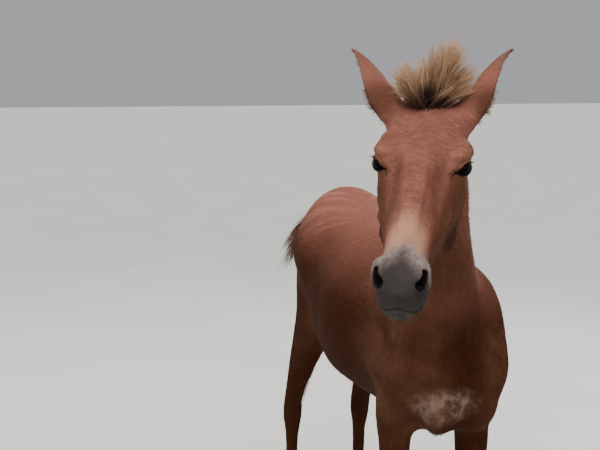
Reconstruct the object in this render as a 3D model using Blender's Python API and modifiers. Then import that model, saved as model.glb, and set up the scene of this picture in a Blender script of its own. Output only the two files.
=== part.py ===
"""A young sorrel mule, standing square with its head turned to its right, as a still life-size model.

Metres, +Z up. The mule faces -Y and its left side is +X. The flesh is modelled whole from lofts and
muscle forms, fused and smoothed, and then parted by thin cuts into head, neck, torso and four legs.
The tables below are in the body's own frame, whose origin lies on the ground under the shoulder points.
The finished part is moved so that the middle of its footprint is the origin.
"""

import math
import random

import bmesh
import bpy
import numpy as np
from mathutils import Matrix, Vector

# Driving sizes
GAP = 0.0003  # between nodes that touch
HEAD_YAW = math.radians(32.0)  # nose towards the mule's right
HEAD_PITCH = math.radians(37.0)  # nose below the level
HEAD_ROLL = math.radians(3.0)  # left side lower
POLL = Vector((-0.1945, -0.1706, 1.593))  # highest point between the ears
EYE_RADIUS = 0.0225
EYE = (0.0700, 0.170, 0.050)  # side, along the nose and down from the poll, in the head's frame
EAR_LENGTH = 0.200
EAR_WIDTH = 0.072
EAR_WALL = 0.005
EAR_ROOT = (0.076, 0.030, 0.018)
MANE_LENGTH = 0.095
FORELOCK_LENGTH = 0.123
TAIL_LENGTH = 0.80
HOOF_HEIGHT = 0.066
CORONET_SLOPE = 0.30  # the hoof's top edge falls towards the heel

COARSE_VOXEL = 0.011
FINE_VOXEL = 0.0055
FINE_TRIANGLES = 8400  # while the whole is as fine as the head
FLESH_TRIANGLES = 6000
SCRAP_VOLUME = 1e-4  # cubic metres

# Sections of the trunk from breast to buttock: along, top, bottom, half width high up, half way and low down
TRUNK = (
    (0.010, 0.990, 0.830, 0.038, 0.062, 0.040),
    (0.045, 1.070, 0.765, 0.064, 0.108, 0.080),
    (0.120, 1.150, 0.722, 0.072, 0.132, 0.096),
    (0.220, 1.215, 0.704, 0.060, 0.144, 0.098),
    (0.320, 1.243, 0.700, 0.060, 0.160, 0.098),
    (0.440, 1.226, 0.694, 0.092, 0.180, 0.108),
    (0.570, 1.198, 0.690, 0.124, 0.198, 0.120),
    (0.700, 1.194, 0.702, 0.130, 0.198, 0.116),
    (0.810, 1.224, 0.732, 0.128, 0.192, 0.104),
    (0.900, 1.258, 0.775, 0.130, 0.196, 0.094),
    (0.990, 1.270, 0.820, 0.126, 0.192, 0.090),
    (1.070, 1.242, 0.865, 0.098, 0.164, 0.080),
    (1.130, 1.186, 0.930, 0.064, 0.110, 0.060),
    (1.165, 1.112, 1.000, 0.028, 0.050, 0.032),
)
TRUNK_LEVELS = (0.86, 0.46, 0.12)
SWAY = 0.044  # the croup swings a little to its left over the hind legs
SWAY_ALONG = (0.50, 0.38)  # where it starts, and over what length it grows
SWAY_UP = (0.66, 0.36)

# Sections of the neck: crest point, throat point, half width high up, at the middle, low down
NECK = (
    ((0.000, 0.400, 1.195), (0.000, 0.120, 0.800), 0.060, 0.130, 0.090),
    ((0.000, 0.300, 1.240), (0.000, 0.035, 0.910), 0.048, 0.128, 0.104),
    ((-0.026, 0.205, 1.300), (-0.034, -0.004, 1.020), 0.034, 0.080, 0.076),
    ((-0.060, 0.110, 1.375), (-0.072, -0.030, 1.130), 0.028, 0.068, 0.065),
    ((-0.097, 0.020, 1.450), (-0.100, -0.052, 1.230), 0.026, 0.062, 0.060),
    ((-0.131, -0.062, 1.520), (-0.119, -0.068, 1.315), 0.029, 0.063, 0.060),
    ((-0.168, -0.128, 1.572), (-0.140, -0.082, 1.385), 0.036, 0.060, 0.056),
    ((-0.197, -0.176, 1.585), (-0.165, -0.125, 1.420), 0.036, 0.054, 0.048),
)
NECK_LEVELS = (0.90, 0.52, 0.16)

# Sections of the head in its own frame: along the nose, top and bottom below the poll, the same half widths
HEAD = (
    (-0.045, 0.018, 0.140, 0.038, 0.050, 0.040),
    (-0.010, 0.002, 0.168, 0.052, 0.062, 0.048),
    (0.040, -0.004, 0.196, 0.066, 0.073, 0.052),
    (0.095, -0.009, 0.216, 0.076, 0.081, 0.056),
    (0.145, -0.008, 0.226, 0.080, 0.086, 0.058),
    (0.190, -0.003, 0.222, 0.068, 0.087, 0.057),
    (0.235, 0.004, 0.206, 0.050, 0.083, 0.054),
    (0.285, 0.008, 0.182, 0.038, 0.071, 0.046),
    (0.335, 0.011, 0.160, 0.032, 0.057, 0.037),
    (0.385, 0.012, 0.143, 0.030, 0.046, 0.031),
    (0.430, 0.010, 0.133, 0.032, 0.043, 0.029),
    (0.465, 0.010, 0.134, 0.038, 0.045, 0.028),
    (0.495, 0.020, 0.138, 0.036, 0.042, 0.025),
    (0.518, 0.042, 0.124, 0.024, 0.030, 0.018),
)
HEAD_LEVELS = (0.86, 0.56, 0.14)

# Level slices of a left leg: height, side, along, half width, reach forward, reach back
FORELEG = (
    (0.985, 0.106, 0.125, 0.048, 0.085, 0.110),
    (0.900, 0.110, 0.125, 0.052, 0.098, 0.130),
    (0.820, 0.111, 0.150, 0.050, 0.085, 0.125),
    (0.750, 0.112, 0.180, 0.048, 0.068, 0.096),
    (0.680, 0.109, 0.193, 0.043, 0.058, 0.062),
    (0.600, 0.108, 0.198, 0.037, 0.050, 0.049),
    (0.520, 0.108, 0.200, 0.031, 0.042, 0.041),
    (0.455, 0.107, 0.200, 0.030, 0.037, 0.037),
    (0.412, 0.107, 0.198, 0.035, 0.039, 0.037),
    (0.372, 0.107, 0.197, 0.036, 0.040, 0.040),
    (0.330, 0.106, 0.200, 0.030, 0.033, 0.036),
    (0.275, 0.106, 0.202, 0.0220, 0.0250, 0.0310),
    (0.200, 0.106, 0.202, 0.0215, 0.0240, 0.0310),
    (0.168, 0.106, 0.200, 0.0255, 0.0280, 0.0345),
    (0.143, 0.106, 0.195, 0.0285, 0.0310, 0.0360),
    (0.113, 0.106, 0.178, 0.0250, 0.0270, 0.0300),
    (0.086, 0.106, 0.160, 0.0262, 0.0275, 0.0285),
    (0.064, 0.106, 0.147, 0.0310, 0.0330, 0.0330),
    (0.040, 0.106, 0.140, 0.0300, 0.0320, 0.0320),
)
HINDLEG = (
    (1.130, 0.080, 0.970, 0.066, 0.100, 0.110),
    (1.040, 0.094, 0.965, 0.072, 0.140, 0.158),
    (0.950, 0.104, 0.950, 0.070, 0.150, 0.172),
    (0.870, 0.104, 0.935, 0.060, 0.146, 0.162),
    (0.790, 0.109, 0.928, 0.054, 0.128, 0.136),
    (0.715, 0.115, 0.948, 0.049, 0.100, 0.100),
    (0.645, 0.121, 0.985, 0.042, 0.076, 0.073),
    (0.575, 0.125, 1.022, 0.0360, 0.0580, 0.0600),
    (0.515, 0.127, 1.048, 0.0330, 0.0480, 0.0660),
    (0.480, 0.126, 1.058, 0.0350, 0.0480, 0.0620),
    (0.435, 0.126, 1.066, 0.0330, 0.0420, 0.0470),
    (0.385, 0.126, 1.070, 0.0255, 0.0310, 0.0370),
    (0.320, 0.126, 1.072, 0.0225, 0.0265, 0.0330),
    (0.230, 0.126, 1.072, 0.0215, 0.0255, 0.0320),
    (0.185, 0.126, 1.070, 0.0250, 0.0285, 0.0350),
    (0.155, 0.126, 1.064, 0.0285, 0.0315, 0.0370),
    (0.122, 0.126, 1.046, 0.0250, 0.0270, 0.0300),
    (0.090, 0.126, 1.026, 0.0260, 0.0270, 0.0280),
    (0.064, 0.126, 1.012, 0.0305, 0.0320, 0.0320),
    (0.040, 0.126, 1.005, 0.0295, 0.0310, 0.0310),
)

# Muscles and bones that stand out on the left half: centre, half sizes, lean of the long axis in degrees
BODY_FORMS = {
    "shoulder_blade": ((0.098, 0.235, 1.030), (0.044, 0.090, 0.170), -24),
    "triceps": ((0.112, 0.245, 0.880), (0.046, 0.095, 0.090), 30),
    "shoulder_point": ((0.090, 0.082, 0.920), (0.046, 0.070, 0.105), -6),
    "shoulder_front": ((0.040, 0.105, 1.000), (0.110, 0.085, 0.180), -16),
    "breast": ((0.052, 0.052, 0.840), (0.062, 0.054, 0.100), 4),
    "forearm_flexor": ((0.112, 0.175, 0.675), (0.040, 0.052, 0.085), 5),
    "elbow": ((0.106, 0.262, 0.770), (0.024, 0.026, 0.034), 0),
    "hip_bone": ((0.120, 0.850, 1.100), (0.036, 0.066, 0.046), 25),
    "croup_muscle": ((0.074, 0.950, 1.085), (0.080, 0.120, 0.085), 15),
    "buttock": ((0.078, 1.090, 1.000), (0.062, 0.070, 0.110), -8),
    "stifle": ((0.116, 0.838, 0.800), (0.042, 0.050, 0.066), 20),
    "gaskin": ((0.122, 0.960, 0.690), (0.040, 0.062, 0.090), -28),
    "flank_fold": ((0.122, 0.810, 0.850), (0.030, 0.060, 0.070), -30),
    "ribs": ((0.088, 0.560, 0.930), (0.112, 0.250, 0.190), 0),
}
HOCK_POINT = ((0.126, 1.108, 0.512), (0.017, 0.020, 0.034))
HOCK_TENDON = (((0.127, 1.030, 0.730), 0.014), ((0.126, 1.106, 0.530), 0.010))
HEAD_FORMS = {
    "brow": ((0.0740, 0.146, 0.026), (0.0260, 0.0400, 0.0220), 0),
    "eye_mound": ((0.0700, 0.170, 0.050), (0.0270, 0.0310, 0.0285), 0),
    "cheekbone_arch": ((0.0780, 0.120, 0.074), (0.0170, 0.0600, 0.0140), 8),
    "cheek": ((0.0500, 0.160, 0.140), (0.0370, 0.0900, 0.0720), 12),
    "jaw_angle": ((0.0420, 0.120, 0.182), (0.0220, 0.0480, 0.0380), 25),
    "jowl": ((0.0480, 0.232, 0.180), (0.0270, 0.0560, 0.0380), 12),
    "facial_crest": ((0.0700, 0.262, 0.080), (0.0100, 0.0520, 0.0100), 4),
    "nostril_wing": ((0.0370, 0.468, 0.044), (0.0210, 0.0340, 0.0300), -38),
    "upper_lip": ((0.0150, 0.497, 0.078), (0.0270, 0.0270, 0.0290), -20),
    "lower_lip": ((0.0090, 0.488, 0.124), (0.0220, 0.0240, 0.0140), 8),
    "chin": ((0.0080, 0.455, 0.134), (0.0220, 0.0260, 0.0160), 0),
    "mouth_corner": ((0.0370, 0.425, 0.104), (0.0080, 0.0240, 0.0130), 0),
}
NASAL_BONE = (((0.0, 0.170, 0.020), 0.030), ((0.0, 0.425, 0.030), 0.0215))
JAW_BONE = (((0.052, 0.150, 0.200), 0.014), ((0.026, 0.400, 0.128), 0.012))
EAR_BASE = (((0.048, 0.044, 0.038), 0.030), ((0.074, 0.026, 0.012), 0.026))

# Cuts in the head, in its own frame
LID_OPENING = (0.0205, 0.0096, 0.0078)  # half length, height above and depth below the eye's middle
NOSTRIL = ((0.0470, 0.470, 0.024), (0.0330, 0.503, 0.060))  # upper and lower end of the left one
NOSTRIL_RADII = (0.0065, 0.0230, 0.0170)  # across, along the slit, into the flesh
MOUTH = (0.480, 0.1055, math.radians(-6))  # along, down and slope of the line between the lips
MOUTH_SLIT = (0.14, 0.105, 0.0028)
MOUTH_CORE = ((0, 0.452, 0.104), (0.0345, 0.0560, 0.030))  # flesh behind the lips that stays whole

# Plates that part the body: a point, the way across, the way along, and the size
SHOULDER_CUT = ((0.0, 0.115, 1.120), (1, 0, 0), (0, 0.31, 0.30), (0.60, 0.66))
FORELEG_CUT = ((0.118, 0.185, 0.757), (1.0, 0, 0.74), (0, 1, 0), (0.190, 0.38))
HINDLEG_CUT = ((0.122, 0.950, 0.812), (1.0, 0, 0.52), (0, 1, 0.34), (0.235, 0.52))
POLL_CUT = ((0, -0.040, 0.0), (0, 0.045, 0.215), (0.30, 0.40))  # two points in the head's frame, and the size

# Rings of a hoof: level from sole to coronet, half width, toe, heel, shift along
HOOF = (
    (0.000, 0.0440, 0.0600, 0.0430, -0.0150),
    (0.012, 0.0430, 0.0570, 0.0425, -0.0125),
    (1.000, 0.0325, 0.0350, 0.0350, 0.0000),
)

# Rings of an ear from below its root to its tip: along, half width, half arc in degrees, bow of the axis
EAR = (
    (-0.14, 0.34, 150, -0.020),
    (0.00, 0.42, 148, 0.000),
    (0.16, 0.49, 128, 0.020),
    (0.34, 0.52, 104, 0.034),
    (0.52, 0.46, 88, 0.036),
    (0.70, 0.34, 76, 0.028),
    (0.86, 0.20, 66, 0.010),
    (0.97, 0.08, 58, -0.010),
    (1.00, 0.02, 55, -0.020),
)
EAR_COLUMNS = 6
EAR_SPREAD = {"ear_left": (1, 0.080), "ear_right": (-1, 0.108)}  # side, and how far out the tip stands

# Hair: places along the crest, rows of the forelock and tiers of the tail
MANE_PLACES = 16
MANE_LOCK = (0.062, 0.0090)  # width and thickness
# along the head, count, share of the full length, lean backwards
FORELOCK_ROWS = ((0.036, 5, 0.78, -0.18), (0.019, 6, 1.00, 0.06), (0.002, 5, 0.98, 0.24))
FORELOCK_FAN = math.radians(40)
FORELOCK_LOCK = (0.036, 0.0080)
TAIL_ROOT = (1.105, 1.165)  # along and height
TAIL_SWING = 0.139  # its end hangs this far to its right
TAIL_SWING_POWER = 1.6
TAIL_DOCK_SHARE = 0.42
TAIL_TIERS = ((0.07, 0.62, 5), (0.16, 0.84, 5), (0.27, 0.97, 4), (0.38, 1.0, 3))  # start, end, count
TAIL_LOCK = (0.054, 0.0150)
ROOT_DEPTH = 0.014  # of a lock in the flesh or core

COAT = (0.235, 0.072, 0.036)
HAIR = (0.170, 0.085, 0.045)
HORN = (0.070, 0.055, 0.045)
EYE_COLOUR = (0.010, 0.007, 0.006)


# ---------------------------------------------------------------- frames and curves


def head_frame():
    """Matrix from the head's frame (left side, along the nose, up) to the body's."""
    turned = Vector((-math.sin(HEAD_YAW), -math.cos(HEAD_YAW), 0.0))
    nose = turned * math.cos(HEAD_PITCH) - Vector((0, 0, math.sin(HEAD_PITCH)))
    side = Vector((math.cos(HEAD_YAW), -math.sin(HEAD_YAW), 0.0))
    roll = Matrix.Rotation(-HEAD_ROLL, 3, nose)
    side = roll @ side
    up = nose.cross(side)
    up = up if up.z > 0 else -up
    frame = Matrix((side, nose, up)).transposed().to_4x4()
    frame.translation = POLL
    return frame


HEAD_FRAME = head_frame()


def on_head(side, along, down):
    """A point of the head's tables in the body's frame."""
    return HEAD_FRAME @ Vector((side, along, -down))


def head_way(side, along, down):
    return (HEAD_FRAME.to_3x3() @ Vector((side, along, -down))).normalized()


def head_backward():
    """The level way from the nose back over the poll."""
    return Vector((math.sin(HEAD_YAW), math.cos(HEAD_YAW), 0.0))


def between(start, end, start_slope, end_slope, t):
    """The value at t, from 0 to 1, on a smooth curve between two values with given slopes."""
    rising = 3 * t**2 - 2 * t**3
    return (
        (1 - rising) * start
        + rising * end
        + (t**3 - 2 * t**2 + t) * start_slope
        + (t**3 - t**2) * end_slope
    )


def smooth_rows(rows, steps):
    """The rows, with steps - 1 more on a smooth curve between each two."""
    rows = np.array(rows, float)
    slopes = np.gradient(rows, axis=0)
    t = (np.arange(steps) / steps)[:, None]
    blocks = [
        between(rows[i], rows[i + 1], slopes[i], slopes[i + 1], t)
        for i in range(len(rows) - 1)
    ]
    return np.concatenate([*blocks, rows[-1:]])


def section_ring(top, bottom, widths, levels, steps=4):
    """A smooth closed outline through top, sides and bottom, as (side, up) pairs."""
    half = [(w, bottom + (top - bottom) * level) for w, level in zip(widths, levels)]
    around = np.array([(0.0, top), *half, (0.0, bottom), *[(-w, z) for w, z in reversed(half)]])
    onward = np.roll(around, -1, axis=0)
    slopes = (onward - np.roll(around, 1, axis=0)) / 2
    points = []
    for a, b, slope, next_slope in zip(around, onward, slopes, np.roll(slopes, -1, axis=0)):
        points += [between(a, b, slope, next_slope, t) for t in np.arange(steps) / steps]
    return points


# ---------------------------------------------------------------- making solids


def new_object(name, mesh, material=None):
    obj = bpy.data.objects.new(name, mesh)
    bpy.context.scene.collection.objects.link(obj)
    if material:
        mesh.materials.append(material)
    return obj


def object_from_bmesh(name, bm, material=None):
    bmesh.ops.recalc_face_normals(bm, faces=bm.faces)
    mesh = bpy.data.meshes.new(name)
    bm.to_mesh(mesh)
    bm.free()
    return new_object(name, mesh, material)


def loft(name, rings):
    """One closed solid through rings of points."""
    bm = bmesh.new()
    loops = [[bm.verts.new(p) for p in ring] for ring in rings]
    count = len(loops[0])
    for near, far in zip(loops, loops[1:]):
        for i in range(count):
            j = (i + 1) % count
            bm.faces.new((near[i], near[j], far[j], far[i]))
    bm.faces.new(loops[0])
    bm.faces.new(loops[-1])
    return object_from_bmesh(name, bm)


def ellipsoid(centre, radii, turn=Matrix.Identity(3), detail=3):
    bm = bmesh.new()
    bmesh.ops.create_icosphere(bm, subdivisions=detail, radius=1.0)
    place = Matrix.Translation(centre) @ turn.to_4x4() @ Matrix.Diagonal((*radii, 1.0))
    bmesh.ops.transform(bm, matrix=place, verts=bm.verts)
    return object_from_bmesh("form", bm)


def box(name, place, size):
    bm = bmesh.new()
    bmesh.ops.create_cube(bm, size=1.0)
    bmesh.ops.transform(bm, matrix=place @ Matrix.Diagonal((*size, 1.0)), verts=bm.verts)
    return object_from_bmesh(name, bm)


def strut(start, start_radius, end, end_radius):
    """A round bar with ball ends, as three closed shells."""
    start, end = Vector(start), Vector(end)
    along = end - start
    bm = bmesh.new()
    bmesh.ops.create_cone(
        bm,
        cap_ends=True,
        segments=20,
        radius1=start_radius,
        radius2=end_radius,
        depth=along.length,
    )
    turn = along.to_track_quat("Z", "Y").to_matrix().to_4x4()
    bmesh.ops.transform(bm, matrix=Matrix.Translation((start + end) / 2) @ turn, verts=bm.verts)
    for centre, radius in ((start, start_radius), (end, end_radius)):
        bmesh.ops.create_icosphere(bm, subdivisions=2, radius=radius, matrix=Matrix.Translation(centre))
    return object_from_bmesh("strut", bm)


def join(name, objects):
    bm = bmesh.new()
    for obj in objects:
        bm.from_mesh(obj.data)
        bpy.data.objects.remove(obj)
    mesh = bpy.data.meshes.new(name)
    bm.to_mesh(mesh)
    bm.free()
    return new_object(name, mesh)


def settle(obj):
    """Replaces the object's mesh by what its modifiers make of it."""
    graph = bpy.context.evaluated_depsgraph_get()
    mesh = bpy.data.meshes.new_from_object(obj.evaluated_get(graph))
    obj.modifiers.clear()
    obj.data = mesh
    return obj


def fuse(obj, voxel):
    """The outer skin of the object's overlapping shells."""
    remesh = obj.modifiers.new("Fuse", "REMESH")
    remesh.mode = "VOXEL"
    remesh.voxel_size = voxel
    return settle(obj)


def relax(obj, rounds, softness, rebound=0.62):
    """Smooths a mesh. softness gives each point's share, and a rebound of 0.62 keeps it from shrinking."""
    mesh = obj.data
    points = np.empty(len(mesh.vertices) * 3)
    mesh.vertices.foreach_get("co", points)
    points = points.reshape(-1, 3)
    ends = np.empty(len(mesh.edges) * 2, int)
    mesh.edges.foreach_get("vertices", ends)
    a, b = ends.reshape(-1, 2).T
    near = np.bincount(np.concatenate([a, b]), minlength=len(points))[:, None]
    share = softness(points)[:, None]
    for _ in range(rounds):
        for pull in (0.60, -rebound):
            total = np.stack(
                [
                    np.bincount(a, points[b, k], len(points))
                    + np.bincount(b, points[a, k], len(points))
                    for k in range(3)
                ],
                axis=1,
            )
            points = points + share * pull * (total / near - points)
    mesh.vertices.foreach_set("co", points.ravel())
    mesh.update()
    return obj


def boolean(obj, other, operation, solver="EXACT"):
    """Cuts or joins a mesh object, or all those of a collection, and removes them."""
    modifier = obj.modifiers.new("Boolean", "BOOLEAN")
    modifier.operation = operation
    modifier.solver = solver
    if isinstance(other, bpy.types.Collection):
        modifier.operand_type = "COLLECTION"
        modifier.collection = other
        spent = list(other.objects)
    else:
        modifier.object = other
        spent = [other]
    settle(obj)
    for piece in spent:
        bpy.data.objects.remove(piece)
    if isinstance(other, bpy.types.Collection):
        bpy.data.collections.remove(other)
    return obj


def islands(mesh):
    """The faces of each connected piece of a mesh, largest volume first, as (volume, face indices)."""
    bm = bmesh.new()
    bm.from_mesh(mesh)
    bm.faces.ensure_lookup_table()
    seen, found = set(), []
    for start in bm.faces:
        if start.index in seen:
            continue
        stack, piece = [start], []
        seen.add(start.index)
        while stack:
            face = stack.pop()
            piece.append(face.index)
            for edge in face.edges:
                for other in edge.link_faces:
                    if other.index not in seen:
                        seen.add(other.index)
                        stack.append(other)
        volume = 0.0
        for index in piece:
            corners = [v.co for v in bm.faces[index].verts]
            for i in range(1, len(corners) - 1):
                volume += corners[0].dot(corners[i].cross(corners[i + 1])) / 6
        found.append((abs(volume), set(piece)))
    bm.free()
    return sorted(found, key=lambda item: -item[0])


def piece_of(mesh, faces, name):
    bm = bmesh.new()
    bm.from_mesh(mesh)
    bm.faces.ensure_lookup_table()
    doomed = [f for f in bm.faces if f.index not in faces]
    bmesh.ops.delete(bm, geom=doomed, context="FACES")
    return object_from_bmesh(name, bm)


def keep_largest(obj):
    """Drops loose scraps and the walls of sealed hollows."""
    found = islands(obj.data)
    if len(found) > 1:
        kept = piece_of(obj.data, found[0][1], obj.name + "_kept")
        obj.data = kept.data
        bpy.data.objects.remove(kept)
    return obj


def swollen(obj, by):
    """A copy that is larger by a small distance on all sides, to cut a neighbour clear."""
    copy = new_object(obj.name + "_swollen", obj.data.copy())
    normals = np.empty(len(copy.data.vertices) * 3)
    points = np.empty_like(normals)
    copy.data.vertices.foreach_get("co", points)
    copy.data.vertices.foreach_get("normal", normals)
    copy.data.vertices.foreach_set("co", points + normals * by)
    copy.data.update()
    return copy


# ---------------------------------------------------------------- flesh


def leaning(degrees, frame=Matrix.Identity(3)):
    """Turns a form's long axis in the side view."""
    return frame @ Matrix.Rotation(math.radians(degrees), 3, "X")


def trunk():
    rings = []
    for along, top, bottom, *widths in smooth_rows(TRUNK, 4):
        outline = section_ring(top, bottom, widths, TRUNK_LEVELS)
        rings.append([(side, along, up) for side, up in outline])
    return loft("trunk", rings)


def neck():
    rows = [(*crest, *throat, *widths) for crest, throat, *widths in NECK]
    rings = []
    for row in smooth_rows(rows, 4):
        crest, throat, widths = Vector(row[:3]), Vector(row[3:6]), row[6:]
        up = crest - throat
        turn = -HEAD_YAW * min(1.0, max(0.0, (0.30 - crest.y) / 0.47))
        side = Vector((math.cos(turn), math.sin(turn), 0.0))
        side = (side - up * side.dot(up) / up.length_squared).normalized()
        outline = section_ring(up.length, 0.0, widths, NECK_LEVELS)
        rings.append([throat + side * s + up.normalized() * h for s, h in outline])
    return loft("neck", rings)


def skull():
    rings = []
    for along, top, bottom, *widths in smooth_rows(HEAD, 4):
        outline = section_ring(-top, -bottom, widths, HEAD_LEVELS)
        rings.append([on_head(side, along, -up) for side, up in outline])
    return loft("skull", rings)


def leg(stations, hand):
    rings = []
    for height, side, along, half, front, back in smooth_rows(stations, 4):
        ring = []
        for k in range(20):
            angle = math.tau * k / 20
            reach = back if math.sin(angle) > 0 else front
            ring.append(
                (
                    hand * (side + half * math.cos(angle)),
                    along + reach * math.sin(angle),
                    height,
                )
            )
        rings.append(ring)
    return loft("leg", rings)


def body_shells():
    shells = [trunk(), neck()]
    for hand in (1, -1):
        shells += [leg(FORELEG, hand), leg(HINDLEG, hand)]
        for centre, radii, lean in BODY_FORMS.values():
            place = Vector((hand * centre[0], *centre[1:]))
            shells.append(ellipsoid(place, radii, leaning(lean)))
    return shells


def hock_shells():
    shells = []
    for hand in (1, -1):
        centre, radii = HOCK_POINT
        shells.append(ellipsoid((hand * centre[0], *centre[1:]), radii, leaning(-18)))
        (start, wide), (end, narrow) = HOCK_TENDON
        shells.append(strut((hand * start[0], *start[1:]), wide, (hand * end[0], *end[1:]), narrow))
    return shells


def head_shells():
    frame = HEAD_FRAME.to_3x3()
    shells = [skull()]
    (start, wide), (end, narrow) = NASAL_BONE
    shells.append(strut(on_head(*start), wide, on_head(*end), narrow))
    for hand in (1, -1):
        for centre, radii, lean in HEAD_FORMS.values():
            place = on_head(hand * centre[0], *centre[1:])
            shells.append(ellipsoid(place, radii, leaning(lean, frame)))
        for (start, wide), (end, narrow) in (JAW_BONE, EAR_BASE):
            first = on_head(hand * start[0], *start[1:])
            second = on_head(hand * end[0], *end[1:])
            shells.append(strut(first, wide, second, narrow))
    return shells


def grown(values, start, span):
    """Rises smoothly from 0 at the start to 1 at the end of the span."""
    share = np.clip((np.asarray(values) - start) / span, 0, 1)
    return share**2 * (3 - 2 * share)


def sway(along, up):
    """How far the hindquarters are swung to their left at a place in the side view."""
    return SWAY * grown(along, *SWAY_ALONG) * grown(up, *SWAY_UP)


def swing_croup(obj):
    mesh = obj.data
    points = np.empty(len(mesh.vertices) * 3)
    mesh.vertices.foreach_get("co", points)
    points = points.reshape(-1, 3)
    points[:, 0] += sway(points[:, 1], points[:, 2])
    mesh.vertices.foreach_set("co", points.ravel())
    mesh.update()


def body_softness(points):
    """Full smoothing on the trunk, little on the slim lower legs."""
    rise = np.clip((points[:, 2] - 0.42) / 0.25, 0.0, 1.0)
    return 0.10 + 0.90 * rise


def head_share(points):
    """1 on the head, falling to 0 down the neck."""
    local = (points - np.array(POLL)) @ np.array(HEAD_FRAME.to_3x3())
    return np.clip((local[:, 1] + 0.03) / 0.05, 0, 1) * np.clip((points[:, 2] - 1.10) / 0.05, 0, 1)


def flesh():
    """The whole body as one closed skin, smooth on the trunk and crisper on the head."""
    body = fuse(join("flesh", body_shells()), COARSE_VOXEL)
    relax(body, 30, body_softness, 0.56)
    swing_croup(body)
    head = fuse(join("head_flesh", head_shells()), FINE_VOXEL)
    relax(head, 5, lambda points: np.ones(len(points)))
    body = fuse(join("flesh", [body, head, *hock_shells()]), FINE_VOXEL)
    relax(body, 7, lambda points: 1.0 - 0.55 * head_share(points))
    return body


def decimate(obj, triangles, spared=None):
    """Fewer triangles, with those of a spared region left as they are."""
    modifier = obj.modifiers.new("Lighten", "DECIMATE")
    modifier.ratio = triangles / sum(len(face.vertices) - 2 for face in obj.data.polygons)
    modifier.use_collapse_triangulate = True
    if spared:
        mesh = obj.data
        points = np.empty(len(mesh.vertices) * 3)
        mesh.vertices.foreach_get("co", points)
        group = obj.vertex_groups.new(name="spared")
        for index, share in enumerate(spared(points.reshape(-1, 3))):
            group.add([index], 1.0 if share < 0.5 else 0.0, "REPLACE")
        modifier.vertex_group = "spared"
        modifier.vertex_group_factor = 1.0
    settle(obj)
    obj.vertex_groups.clear()
    return obj


def lighten(obj):
    """Few triangles on the body and finer ones on the head."""
    decimate(obj, FINE_TRIANGLES)
    return decimate(obj, FLESH_TRIANGLES, head_share)


# ---------------------------------------------------------------- cuts in the head


def eye_centre(hand):
    return on_head(hand * EYE[0], *EYE[1:])


def eye_outward(hand):
    """The way an eye looks: outwards, a little forward and up."""
    return head_way(hand * 0.80, 0.58, -0.14)


def lid_cutter(hand):
    """An almond prism that opens the lids over the eyeball, pointed at both corners."""
    half_length, above, below = LID_OPENING
    out = eye_outward(hand)
    along = head_way(0, 1, -0.30)
    along = (along - out * along.dot(out)).normalized()
    upward = out.cross(along)
    upward = upward if upward.dot(head_way(0, 0, -1)) > 0 else -upward
    bm = bmesh.new()
    corners = []
    for k in range(16):
        angle = math.tau * k / 16
        lift = math.copysign(abs(math.sin(angle)) ** 1.25, math.sin(angle))
        rim = (above if lift > 0 else below) * lift
        corners.append(bm.verts.new(eye_centre(hand) + along * half_length * math.cos(angle) + upward * rim))
    face = bm.faces.new(corners)
    pushed = bmesh.ops.extrude_face_region(bm, geom=[face])["geom"]
    moved = [v for v in pushed if isinstance(v, bmesh.types.BMVert)]
    bmesh.ops.translate(bm, verts=moved, vec=out * EYE_RADIUS * 2.3)
    return object_from_bmesh("lid_cutter", bm)


def nostril_cutter(hand):
    """The slanted slit of a nostril, deep at its upper end."""
    start, end = (on_head(hand * side, along, down) for side, along, down in NOSTRIL)
    way = (end - start).normalized()
    out = head_way(hand * 0.75, 0.62, 0.05)
    third = way.cross(out).normalized()
    out = third.cross(way).normalized()
    turn = Matrix((third, way, out)).transposed()
    return ellipsoid((start + end) / 2, NOSTRIL_RADII, turn)


def mouth_cutter():
    """A thin groove round the front of the muzzle between the lips, kept to the outer flesh."""
    along, down, slope = MOUTH
    place = HEAD_FRAME @ Matrix.Translation((0, along, -down)) @ Matrix.Rotation(slope, 4, "X")
    slab = box("mouth", place, MOUTH_SLIT)
    middle, radii = MOUTH_CORE
    core = ellipsoid(on_head(*middle), radii, HEAD_FRAME.to_3x3())
    return boolean(slab, core, "DIFFERENCE")


def carve_head(body):
    for hand in (1, -1):
        boolean(body, ellipsoid(eye_centre(hand), (EYE_RADIUS + GAP,) * 3, detail=3), "DIFFERENCE")
        boolean(body, lid_cutter(hand), "DIFFERENCE")
        boolean(body, nostril_cutter(hand), "DIFFERENCE")
    boolean(body, mouth_cutter(), "DIFFERENCE")
    return body


# ---------------------------------------------------------------- parting the flesh


def plate(centre, across, along, size):
    """A thin plate through a point, spanned by two directions."""
    centre, across, along = Vector(centre), Vector(across).normalized(), Vector(along)
    along = (along - across * along.dot(across)).normalized()
    turn = Matrix((across, along, across.cross(along))).transposed().to_4x4()
    return box("plate", Matrix.Translation(centre) @ turn, (*size, GAP))


def part_plates():
    """Behind the jaw, before the shoulders, and under the elbow and the groin of each leg."""
    behind_poll, throat = on_head(*POLL_CUT[0]), on_head(*POLL_CUT[1])
    plates = [
        plate((behind_poll + throat) / 2, HEAD_FRAME.col[0][:3], throat - behind_poll, POLL_CUT[2]),
        plate(*SHOULDER_CUT),
    ]
    for hand in (1, -1):
        for centre, across, along, size in (FORELEG_CUT, HINDLEG_CUT):
            beside = Vector((hand * centre[0], *centre[1:]))
            plates.append(plate(beside, (hand * across[0], *across[1:]), along, size))
    return plates


def coronet_height(along, centre):
    return HOOF_HEIGHT - CORONET_SLOPE * (along - centre)


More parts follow.
